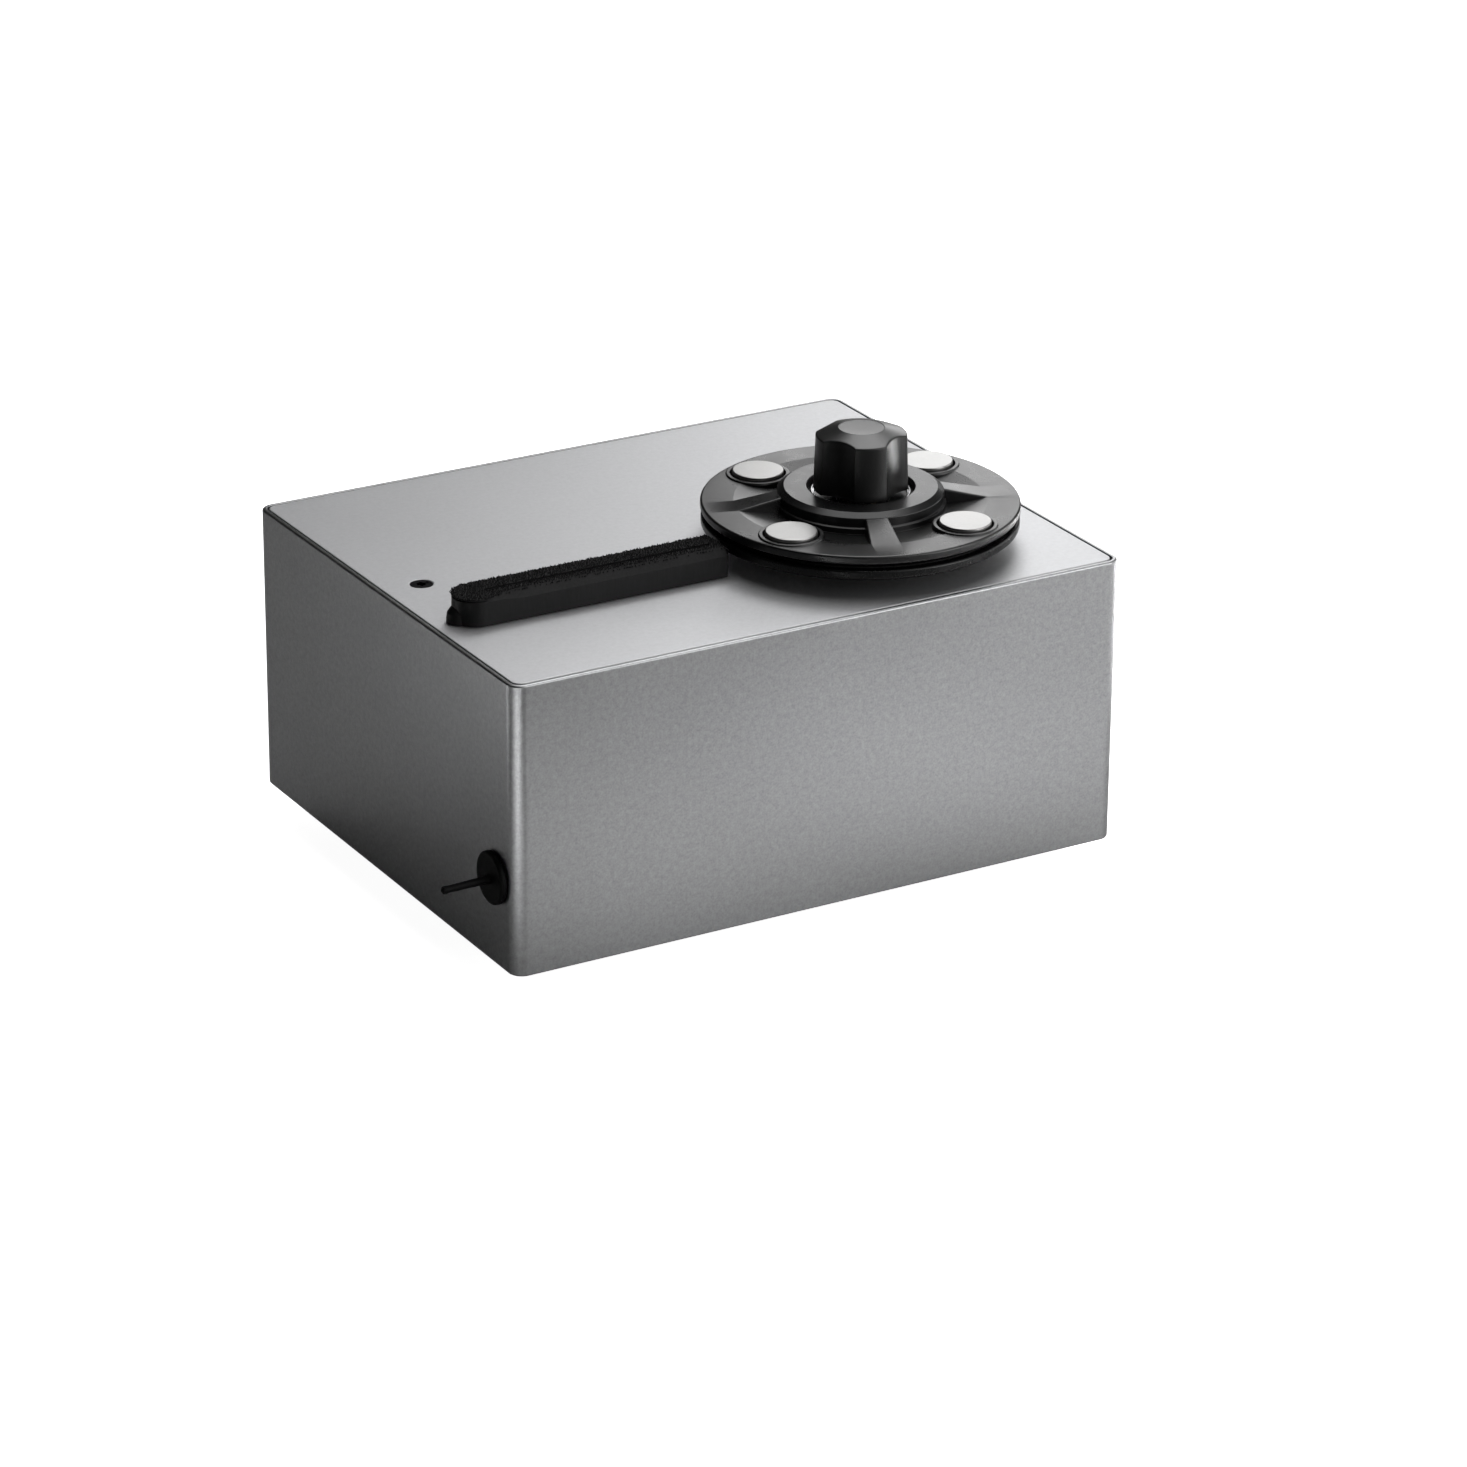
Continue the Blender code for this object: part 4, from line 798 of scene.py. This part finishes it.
def knob_mesh():
    slope = 0.325
    disc = 7.75

    def cone(x, y):
        return KNOB_TOP - (math.hypot(x, y) - disc) * slope

    rings, verts = [], []

    def add(points):
        rings.append(list(range(len(verts), len(verts) + len(points))))
        verts.extend((SX + x, SY + y, H + z) for x, y, z in points)

    for z, lip in ((19.3, 0.22), (19.36, 0.06), (19.5, 0.0)):
        add([(x, y, z) for x, y in knob_loop(KNOB_FOOT, lip=lip)])
    for k in range(1, 6):
        r = KNOB_FOOT + (KNOB_R - KNOB_FOOT) * k / 6
        add([(x, y, 19.5 + (37.6 - 19.5) * k / 6) for x, y in knob_loop(r)])
    last = knob_loop(KNOB_R)
    add([(x, y, cone(x, y) - 0.42) for x, y in last])
    for k in range(1, 6):                          # rim rolled over to the cone
        a = math.pi / 2 * k / 5
        lp = inset(last, 0.42 * (1 - math.cos(a)))
        add([(x, y, cone(x, y) - 0.42 * (1 - math.sin(a))) for x, y in lp])
    base = inset(last, 0.42)
    for t in (0.12, 0.3, 0.5, 0.7, 0.86, 0.96, 1.0):
        ring = []
        for x, y in base:
            rr = math.hypot(x, y)
            k = rr + (disc - rr) * t
            ring.append((x / rr * k, y / rr * k, KNOB_TOP - (k - disc) * slope))
        add(ring)
    for r, z in ((7.62, -0.03), (7.55, -0.10), (7.42, -0.12), (5.0, -0.16), (2.5, -0.19)):
        add([(x / math.hypot(x, y) * r, y / math.hypot(x, y) * r, KNOB_TOP + z) for x, y in base])
    faces = [tuple(reversed(rings[0])), tuple(rings[-1])]
    for a, b in zip(rings, rings[1:]):
        for i in range(len(a)):
            j = (i + 1) % len(a)
            faces.append((a[i], a[j], b[j], b[i]))
    return make("clamp_knob", verts, faces)


knob = knob_mesh()
cut(knob, lathe("bore", [(0, 17.9), (6.3, 17.9), (6.3, 29.9), (4.2, 29.9), (4.2, 36.0), (0, 36.0)], O, 48, "Z", False))
done(knob, "knob", M["knob"], ["knob"], 26)

# =============================================================== suction arm


def arm_loop(grow=0.0, n=24, corner=1.0):
    r = ARM_W / 2 + grow
    cx = ARM_X0 + ARM_W / 2
    pts = [(cx + r * math.cos(math.radians(90 + 180 * i / n)),
            ARM_Y + r * math.sin(math.radians(90 + 180 * i / n))) for i in range(n + 1)]
    x1 = ARM_X1 + grow
    end = arc_corners([(pts[-1]), (x1, ARM_Y - r), (x1, ARM_Y + r), pts[0]], [0, corner, corner, 0], 5, False)
    return pts + end[1:-1]


def margin(x):
    """Width of the smooth margin along the arm's front edge."""
    return 2.4 * min(1.0, max(0.0, (x - 17.0) / 13.0)) ** 0.7


MARGIN_XS = [17.2 + (ARM_X1 - 0.4 - 17.2) * (i / 40) ** 1.6 for i in range(41)]


def margin_loop(front, back):
    """Plan of the margin, grown by front and back."""
    return ([(x, ARM_Y - ARM_W / 2 - front) for x in MARGIN_XS] +
            [(x, ARM_Y - ARM_W / 2 + margin(x) + back) for x in reversed(MARGIN_XS)])


def margin_wedge(name, front, raised, height):
    """Along the margin: the wedge under its slope (height None), or the space
    over it, whose floor is raised a little."""
    verts, n = [], len(MARGIN_XS)
    for x in MARGIN_XS:
        y0, y1 = ARM_Y - ARM_W / 2 + 0.02, ARM_Y - ARM_W / 2 + margin(x) + 0.35
        z0 = H + min(8.4, 10.1 - 0.9 * (y1 - y0))
        ya, za = y0 - front, z0 - 0.9 * front + raised
        zb = z0 + 0.9 * (y1 - y0) + raised
        if height is None:
            verts += [(x, ya, H + 7.2), (x, ya, za), (x, y1, zb), (x, y1, H + 7.2)]
        else:
            verts += [(x, ya, za), (x, ya, H + height), (x, y1, H + height), (x, y1, zb)]
    faces = [(0, 1, 2, 3), tuple(4 * (n - 1) + i for i in (3, 2, 1, 0))]
    for i in range(n - 1):
        for j in range(4):
            q = (j + 1) % 4
            faces.append((4 * i + j, 4 * i + q, 4 * i + 4 + q, 4 * i + 4 + j))
    return make(name, verts, faces)


arm = prism("arm_body", arm_loop(), H + GAP, H + 8.8, 0.3, 0.35, n=3)
fuse(arm, margin_wedge("slope", 0.0, 0.0, None),
     lathe("spigot", arc_corners([(0, 2.0), (5.7, 2.0), (5.7, -12.0), (0, -12.0)], [0, 0, 0.6, 0], 3, False),
                (PORT_X, ARM_Y, H), 56, "Z", False),
     lathe("lug", arc_corners([(0, 5.7), (2.7, 5.4), (3.9, 3.7), (4.2, 1.5), (4.2, GAP), (0, GAP)],
                              [0, 1.2, 1.2, 1.0, 0.2, 0], 4, False), (ARM_X0 + 2.0, ARM_Y + 0.4, H), 48, "Z", False))
cut(arm, margin_wedge("over", 1.0, 0.012, 13.0), box("duct", 17.5, ARM_X1 - 2.2, ARM_Y - 5.4, ARM_Y + 5.4, H + 1.8, H + 7.2),
    prism("slot", rounded(20.0, 104.0, ARM_Y - 1.3, ARM_Y + 1.3, 1.2, 5), H + 4.0, H + 12.0),
    lathe("bore", [(0, 4.5), (4.3, 4.5), (4.3, -14), (0, -14)], (PORT_X, ARM_Y, H), 48, "Z", False))
done(arm, "arm", M["arm"], ["suction_arm"], 32)
done(lathe("spigot_ring", arc_corners([(5.85, -6.4), (6.6, -6.4), (6.6, -8.0), (5.85, -8.0)], 0.45, 4),
           (PORT_X, ARM_Y, H), 56), "arm", M["seal"], ["arm_seal"])

# velvet: a strip with its slot, and the tufts of its pile
SLOT = (20.0, 104.0, 1.0)
strip = prism("velvet_strip", arm_loop(0.05), H + 9.1, H + 9.75, 0.08, 0.2, n=2)
cut(strip, prism("slot", rounded(SLOT[0], SLOT[1], ARM_Y - SLOT[2], ARM_Y + SLOT[2], 0.95, 5), H + 8, H + 11),
    prism("lip", margin_loop(1.0, 0.45), H + 8, H + 11))
done(strip, "arm", M["backing"], ["velvet_pad"], 40)


def pile(name, seed=7):
    rng = random.Random(seed)
    r0 = ARM_W / 2 + 0.2
    cx = ARM_X0 + ARM_W / 2
    verts, faces = [], []
    step = 0.60
    rows = int(2 * r0 / step) + 1
    for j in range(rows + 1):
        y = -r0 + j * step
        x = ARM_X0 + (0.3 if j % 2 else 0.0)
        while x < ARM_X1 + 0.1:
            px, py = x + rng.uniform(-0.17, 0.17), y + rng.uniform(-0.17, 0.17)
            x += step
            if abs(py) > r0 or (px < cx and math.hypot(px - cx, py) > r0):
                continue
            if py < -r0 + margin(px) + rng.uniform(-0.35, 0.35) and px > 17.0:
                continue
            if SLOT[0] < px < SLOT[1] and abs(py) < SLOT[2] + 0.05:
                continue
            w, h = rng.uniform(0.24, 0.36), rng.uniform(0.34, 0.62)
            lx, ly = rng.gauss(0, 0.13), rng.gauss(0, 0.13)
            a0 = rng.uniform(0, math.tau)
            k = len(verts)
            z0 = H + 9.62
            for i in range(4):
                a = a0 + math.tau * i / 4
                verts.append((px + w * math.cos(a), ARM_Y + py + w * math.sin(a), z0))
            for i in range(4):
                a = a0 + math.tau * i / 4
                verts.append((px + lx + 0.55 * w * math.cos(a), ARM_Y + py + ly + 0.55 * w * math.sin(a),
                              z0 + 0.7 * h))
            verts.append((px + lx * 1.6, ARM_Y + py + ly * 1.6, z0 + h))
            for i in range(4):
                q = (i + 1) % 4
                faces += [(k + i, k + q, k + 4 + q, k + 4 + i), (k + 4 + i, k + 4 + q, k + 8)]
            faces.append((k + 3, k + 2, k + 1, k))
    me = bpy.data.meshes.new(name)
    me.from_pydata([P(*v) for v in verts], [], faces)
    ob = bpy.data.objects.new(name, me)
    bpy.context.scene.collection.objects.link(ob)
    me.shade_smooth()
    me.materials.append(M["velvet"])
    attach(ob, "arm")
    return ob


tufts = pile("velvet_tufts")


# ================================================================== stopper
stop = lathe("stopper_plug", arc_corners(
    [(0, STOP_T + GAP), (8.2, STOP_T + GAP), (9.0, STOP_T - 0.1), (9.05, GAP), (6.25, GAP), (6.25, -7.5), (5.2, -9.5),
     (3.0, -9.5), (2.6, -5.0), (0, -5.0)], [0, 0.7, 0.7, 0.5, 0.2, 0.8, 0.6, 0.5, 0.5, 0], 4, False),
    (0, *DRAIN), 80, "-X", False)
verts, rings = [], []
NT, NS = 30, 20
for i in range(NT + 1):
    t = i / NT
    s = 1.0 + (-TAB_X - 0.02 - 1.0) * t
    zc = -0.3 - 0.35 * t
    rr = 1.45 - 0.25 * t
    if t < 0.2:                                    # flared root
        rr += 0.9 * (1 - t / 0.2) ** 2
    if t > 0.86:                                   # bulb at the tip
        rr += 0.16 * math.sin((t - 0.86) / 0.14 * math.pi) ** 0.8
    if t > 0.95:
        rr *= math.sqrt(max(0.0, 1 - ((t - 0.95) / 0.05) ** 2 * 0.9))
    flat = 1.0 - 0.15 * t
    ring = []
    for j in range(NS):
        a = math.tau * j / NS
        ring.append(len(verts))
        verts.append((-s, DRAIN[0] + rr * flat * math.cos(a), DRAIN[1] + zc + rr * math.sin(a)))
    rings.append(ring)
faces = [tuple(rings[0]), tuple(reversed(rings[-1]))]
for a, b in zip(rings, rings[1:]):
    for i in range(NS):
        j = (i + 1) % NS
        faces.append((a[i], a[j], b[j], b[i]))
fuse(stop, make("tab", verts, faces))
done(stop, "stopper", M["stopper"], ["drain_stopper"], 40)

# ============================================================ panel fittings
FX = W + GAP + FLANGE
FY = D + GAP + FLANGE


sw = prism("switch_panel", rounded(SW_Y - 20, SW_Y + 20, SW_Z - 15, SW_Z + 15, 2.2, 6), W + GAP, FX, 0.0, 0.55,
           axis="X", n=4)
fuse(sw, prism("body", rounded(SW_Y - 17, SW_Y + 17, SW_Z - 12, SW_Z + 12, 1.0, 3), W - 18, W + GAP + 0.5, axis="X"))
ROT_Y, SUC_Y = SW_Y - 8.0, SW_Y + 8.0
wells = []
for y in (ROT_Y, SUC_Y):
    w = ROCK_W / 2 + GAP
    wells.append(prism("well", rounded(y - w, y + w, SW_Z - ROCK_R - GAP, SW_Z + ROCK_R + GAP, 0.6, 4),
                       W - 9.5, W + 8, axis="X"))
cut(sw, *wells)
done(sw, "chassis", M["panel"], ["switch_plate"])

inl = prism("inlet_panel", rounded(-(IN_X + 26), -(IN_X - 26), IN_Z - 15, IN_Z + 15, 2.2, 6), D + GAP, FY, 0.0, 0.55,
            axis="Y", n=4)
fuse(inl, prism("body", rounded(-(IN_X + 23), -(IN_X - 23), IN_Z - 12, IN_Z + 12, 1.0, 3), D - 22, D + GAP + 0.5,
                axis="Y"))
SOCK_X, RK_X = IN_X + 8.5, IN_X - 13.0
sock = [(-12.2, 8.2), (-12.2, -3.6), (-7.6, -8.2), (7.6, -8.2), (12.2, -3.6), (12.2, 8.2)]
sock = arc_corners([(-(SOCK_X + u), IN_Z + v) for u, v in sock], 1.2, 4)
w = ROCK_W / 2 + GAP
cut(inl, prism("socket", sock, D - 17, D + 8, axis="Y"),
    prism("well", rounded(-(RK_X + w), -(RK_X - w), IN_Z - ROCK_R - GAP, IN_Z + ROCK_R + GAP, 0.6, 4),
          D - 9.5, D + 8, axis="Y"))
done(inl, "chassis", M["panel"], ["power_inlet"])
pins = [prism("pin", rounded(-(SOCK_X + px + 1.0), -(SOCK_X + px - 1.0), IN_Z + pz - 2.0, IN_Z + pz + 2.0, 0.3, 3),
              D - 18, D - 5, 0, 0.5, axis="Y") for px, pz in ((-7.0, -2.0), (7.0, -2.0), (0.0, 2.5))]
done(merged("inlet_pins", pins), "chassis", M["pin"])

gx0, gx1, gz0, gz1 = BX + 7.3, BX + 34.7, 43.3, 66.7
gr = prism("vent_grille", rounded(-(gx1 + 3), -(gx0 - 3), gz0 - 3, gz1 + 3, 2.2, 6), D + GAP, FY, 0.0, 0.55,
           axis="Y", n=4)
fuse(gr, box("neck", gx0, gx1, D - WALL - 0.2, D + GAP + 0.6, gz0, gz1))
slots = []
for i in range(5):
    z = gz0 + 2.2 + i * 4.5
    slots.append(prism("slot", rounded(-(gx1 - 2.4), -(gx0 + 2.4), z, z + 2.4, 1.15, 5), D - 6, D + 6, axis="Y"))
cut(gr, *slots)
done(gr, "chassis", M["panel"], ["exhaust_grille"])


def rocker(name, node, origin, wall, rest, body, marks):
    """Dished rocker whose pivot is at origin; marks are (kind, along)."""
    tv = math.sqrt(ROCK_R ** 2 - ROCK_TOP ** 2)
    face = []
    for i in range(13):
        v = -tv + 2 * tv * i / 12
        face.append((v, ROCK_TOP - 1.25 * (1 - (v / tv) ** 2)))
    prof = face + arc_corners([(tv, ROCK_TOP), (ROCK_R, 0.0), (9.6, -2.8), (5.5, -6.0), (-5.5, -6.0), (-9.6, -2.8),
                               (-ROCK_R, 0.0), (-tv, ROCK_TOP)], [0, 0.3, 1.0, 1.0, 1.0, 1.0, 0.3, 0], 3, False)[1:-1]
    ca, sa = math.cos(math.radians(rest)), math.sin(math.radians(rest))

    def turn(v, u):
        return v * ca - u * sa, v * sa + u * ca

    hw = ROCK_W / 2

    def place(wd, v, u):
        v, u = turn(v, u)
        if wall == "X":
            return (origin[0] + u, origin[1] + wd, origin[2] + v)
        return (origin[0] + wd, origin[1] + u, origin[2] + v)

    n = len(prof)
    rows = [(-hw, 0.35), (-hw + 0.1, 0.1), (-hw + 0.35, 0.0), (hw - 0.35, 0.0), (hw - 0.1, 0.1), (hw, 0.35)]
    verts, faces = [], []
    for wd, d in rows:
        for v, u in (inset(ccw(prof), d) if d else ccw(prof)):
            verts.append(place(wd, v, u))
    for k in range(len(rows) - 1):
        for i in range(n):
            j = (i + 1) % n
            faces.append((k * n + i, k * n + j, (k + 1) * n + j, (k + 1) * n + i))
    faces += [tuple(range(n)), tuple(reversed(range((len(rows) - 1) * n, len(rows) * n)))]
    ob = make(name, verts, faces)
    done(ob, body, M["rocker"], [node], 30)

    def surf(v):
        return ROCK_TOP - 1.25 * (1 - (v / tv) ** 2)

    shells = []
    for kind, v0 in marks:
        loops = []
        if kind == "bar":
            loops.append([[(-0.4, v0 - 1.6), (0.4, v0 - 1.6), (0.4, v0 + 1.6), (-0.4, v0 + 1.6)]])
        elif kind == "ring":
            loops.append([[(1.6 * math.cos(a), v0 + 1.6 * math.sin(a)) for a in np.linspace(0, math.tau, 33)[:-1]],
                          [(1.0 * math.cos(a), v0 + 1.0 * math.sin(a)) for a in np.linspace(0, math.tau, 33)[:-1]]])
        elif kind in ("left", "right"):
            s = -1 if kind == "left" else 1
            outer, inner = [], []
            for i in range(17):
                a = math.radians(-40 + 260 * i / 16)
                outer.append((s * 1.75 * math.cos(a), v0 + 1.75 * math.sin(a)))
                inner.append((s * 1.25 * math.cos(a), v0 + 1.25 * math.sin(a)))
            band_ = [outer, inner]
            loops.append(("strip", band_))
            tip = math.radians(-40)
            cx_, cy_ = s * 1.5 * math.cos(tip), v0 + 1.5 * math.sin(tip)
            tx, ty = s * math.sin(tip), -math.cos(tip)
            nx, ny = s * math.cos(tip), math.sin(tip)
            loops.append([[(cx_ + tx * 1.5, cy_ + ty * 1.5), (cx_ + nx * 0.9, cy_ + ny * 0.9),
                           (cx_ - nx * 0.9, cy_ - ny * 0.9)]])
        for lp in loops:
            vs, fs = [], []
            if isinstance(lp, tuple):
                o_, i_ = lp[1]
                pairs = [(o_, i_, False)]
            elif len(lp) == 2:
                pairs = [(lp[0], lp[1], True)]
            else:
                pairs = []
                m = len(lp[0])
                for h in (-0.1, 0.06):
                    vs += [place(x, y, surf(y) + h) for x, y in lp[0]]
                fs = [tuple(range(m)), tuple(reversed(range(m, 2 * m)))]
                fs += [(i, (i + 1) % m, m + (i + 1) % m, m + i) for i in range(m)]
            for o_, i_, ring in pairs:
                m = len(o_)
                for h in (-0.1, 0.06):
                    vs += [place(x, y, surf(y) + h) for x, y in o_]
                    vs += [place(x, y, surf(y) + h) for x, y in i_]
                for i in range(m if ring else m - 1):
                    j = (i + 1) % m
                    fs += [(2 * m + i, 2 * m + j, 3 * m + j, 3 * m + i), (i, j, 2 * m + j, 2 * m + i),
                           (m + i, m + j, 3 * m + j, 3 * m + i), (i, j, m + j, m + i)]
                if not ring:
                    fs += [(0, m, 3 * m, 2 * m), (m - 1, 2 * m - 1, 4 * m - 1, 3 * m - 1)]
            shells.append(make("mark", vs, fs))
    if shells:
        mk = merged(name + "_marks", shells)
        done(mk, body, M["mark"])


rocker("turn_rocker", "rotation_rocker", (FX, ROT_Y, SW_Z), "X", 0.0, "rotation_switch",
       [("right", 6.2), ("ring", 0.0), ("left", -6.2)])
rocker("vacuum_rocker", "suction_rocker", (FX, SUC_Y, SW_Z), "X", -ROCK_TILT, "suction_switch",
       [("bar", 6.2), ("ring", -6.2)])
rocker("mains_rocker", "power_rocker", (RK_X, FY, IN_Z), "Y", -ROCK_TILT, "power_switch",
       [("bar", 6.2), ("ring", -6.2)])

# =============================================================== stage, light
scene = bpy.context.scene
world = bpy.data.worlds.new("studio")
scene.world = world
world.use_nodes = True


def backdrop(name, c, emit, rough=0.9):
    m = bpy.data.materials.new(name)
    m.use_nodes = True
    b = m.node_tree.nodes["Principled BSDF"]
    b.inputs["Base Color"].default_value = (c, c, c, 1)
    b.inputs["Roughness"].default_value = rough
    b.inputs["Specular IOR Level"].default_value = 0.0
    b.inputs["Emission Color"].default_value = (1, 1, 1, 1)
    b.inputs["Emission Strength"].default_value = emit
    return m


def disc(name, z, radius, mat):
    bm = bmesh.new()
    bmesh.ops.create_circle(bm, cap_ends=True, segments=96, radius=radius)
    for v in bm.verts:
        v.co.z = z
    me = bpy.data.meshes.new(name)
    bm.to_mesh(me)
    bm.free()
    ob = bpy.data.objects.new(name, me)
    scene.collection.objects.link(ob)
    me.materials.append(mat)
    ob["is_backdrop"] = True
    return ob


# White floor, and the same floor as the metal mirrors it, which is darker.
floor = disc("floor", 0.0, 4.0, backdrop("floor_white", 0.86, 0.95))
floor.visible_glossy = floor.visible_diffuse = False
floor.visible_shadow = False
TABLE = 0.35
table = disc("floor_mirrored", 0.0003, 4.0, backdrop("floor_grey", TABLE, 0.0))
table.visible_camera = table.visible_diffuse = table.visible_transmission = table.visible_shadow = False

bm = bmesh.new()
bmesh.ops.create_uvsphere(bm, u_segments=64, v_segments=32, radius=6.0)
bmesh.ops.reverse_faces(bm, faces=bm.faces)
me = bpy.data.meshes.new("backdrop")
bm.to_mesh(me)
bm.free()
me.shade_smooth()
dome = bpy.data.objects.new("backdrop", me)
scene.collection.objects.link(dome)
me.materials.append(backdrop("backdrop_white", 0.0, 1.0))
for flag in ("visible_diffuse", "visible_glossy", "visible_transmission", "visible_shadow", "visible_volume_scatter"):
    setattr(dome, flag, False)
dome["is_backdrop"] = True

# Soft glows of the studio round the object: (azimuth, elevation, tightness,
# strength); azimuth 0 is to the right (+X) and 90 behind (+Y).
GLOWS = [(300, 20, 8, 2.4)]
AMBIENT = 0.012
nt = world.node_tree
nt.nodes.clear()
out = nt.nodes.new("ShaderNodeOutputWorld")
bg = nt.nodes.new("ShaderNodeBackground")
bg.inputs["Color"].default_value = (1, 1, 1, 1)
tc = nt.nodes.new("ShaderNodeTexCoord")


def wmath(op, a, b):
    n = nt.nodes.new("ShaderNodeMath")
    n.operation = op
    for i, v in enumerate((a, b)):
        if v is None:
            continue
        if isinstance(v, (int, float)):
            n.inputs[i].default_value = v
        else:
            nt.links.new(v, n.inputs[i])
    return n.outputs[0]


total = AMBIENT
for az, el, tight, strength in GLOWS:
    a, e = math.radians(az), math.radians(el)
    dot = nt.nodes.new("ShaderNodeVectorMath")
    dot.operation = "DOT_PRODUCT"
    dot.inputs[1].default_value = (math.cos(e) * math.cos(a), math.cos(e) * math.sin(a), math.sin(e))
    nt.links.new(tc.outputs["Generated"], dot.inputs[0])
    g = wmath("EXPONENT", wmath("MULTIPLY", wmath("SUBTRACT", dot.outputs["Value"], 1.0), tight), None)
    total = wmath("ADD", wmath("MULTIPLY", g, strength), total)
nt.links.new(total, bg.inputs["Strength"])
nt.links.new(bg.outputs["Background"], out.inputs["Surface"])


def polar(az, el, r=0.8):
    """Place at a direction and distance from the clamp."""
    a, e = math.radians(az), math.radians(el)
    return (0.055 + r * math.cos(e) * math.cos(a), -0.037 + r * math.cos(e) * math.sin(a), 0.125 + r * math.sin(e))


# Soft boxes: (name, place in m, aim, width, height, radiance), and pools of
# light on the floor: (name, place, width, height, spread, watts)
CLAMP = (0.055, -0.037, 0.125)
BOXES = [("softbox_right", (0.75, -0.10, 0.20), (0.1, 0.0, 0.07), 0.50, 0.30, 1.85),
         ("softbox_front", (0.45, -0.60, 0.10), (0.05, -0.09, 0.07), 0.40, 0.15, 5.4),
         ("softbox_top", (0.15, 0.10, 0.90), (0.03, 0.0, 0.10), 0.70, 0.60, 2.6),
         ("softbox_back", polar(50, 32), CLAMP, 0.36, 0.24, 1.3),
         ("softbox_back_high", polar(50, 52), CLAMP, 0.36, 0.24, 5.0),
         ("softbox_back_low", polar(50, 14), CLAMP, 0.36, 0.24, 3.04)]
POOLS = [("pool_front_left", (-0.27, -0.24, 0.55), 0.12, 0.12, 30, 0.84),
         ("pool_left", (-0.36, 0.12, 0.55), 0.10, 0.10, 22, 0.33),
         ("pool_back_left", (-0.48, 0.26, 0.55), 0.10, 0.10, 26, 0.62),
         ("pool_front", (-0.02, -0.20, 0.50), 0.10, 0.10, 26, 0.11),
         ("pool_front_right", (0.12, -0.22, 0.50), 0.10, 0.10, 26, 0.16),
         ("pool_right", (0.34, -0.18, 0.55), 0.12, 0.20, 40, 0.5),
         ("pool_right_mid", (0.40, 0.02, 0.50), 0.10, 0.10, 26, 2.45),
         ("pool_right_far", (0.55, -0.10, 0.50), 0.10, 0.10, 26, 4.35)]


def area_light(name, at, aim, w, h, watts, spread=180):
    li = bpy.data.lights.new(name, "AREA")
    li.shape = "RECTANGLE"
    li.size, li.size_y, li.energy, li.spread = w, h, watts, math.radians(spread)
    ob = bpy.data.objects.new(name, li)
    ob.location = at
    ob.rotation_euler = (Vector(aim) - Vector(at)).to_track_quat("-Z", "Y").to_euler()
    ob.visible_camera = False
    scene.collection.objects.link(ob)


for name, at, aim, w, h, glow in BOXES:
    area_light(name, at, aim, w, h, glow * math.pi * w * h)
for name, at, w, h, spread, watts in POOLS:
    area_light(name, at, (at[0], at[1], 0.0), w, h, watts, spread)

# ===================================================================== camera
cam_data = bpy.data.cameras.new("camera")
cam_data.sensor_width = 36.0
cam_data.lens = 138.57
cam_data.clip_start, cam_data.clip_end = 0.05, 50.0
cam = bpy.data.objects.new("camera", cam_data)
scene.collection.objects.link(cam)
right = Vector((0.86518236, -0.5014048, 0.00725991))
up = Vector((0.19038939, 0.34184477, 0.92026845))
back = Vector((-0.46390879, -0.79481782, 0.39122023))
cam.matrix_world = Matrix(((right.x, up.x, back.x, -0.87324), (right.y, up.y, back.y, -1.54474),
                           (right.z, up.z, back.z, 0.79620), (0, 0, 0, 1)))
scene.camera = cam
scene.view_settings.view_transform = "Standard"
scene.view_settings.look = "None"

lo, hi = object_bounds()
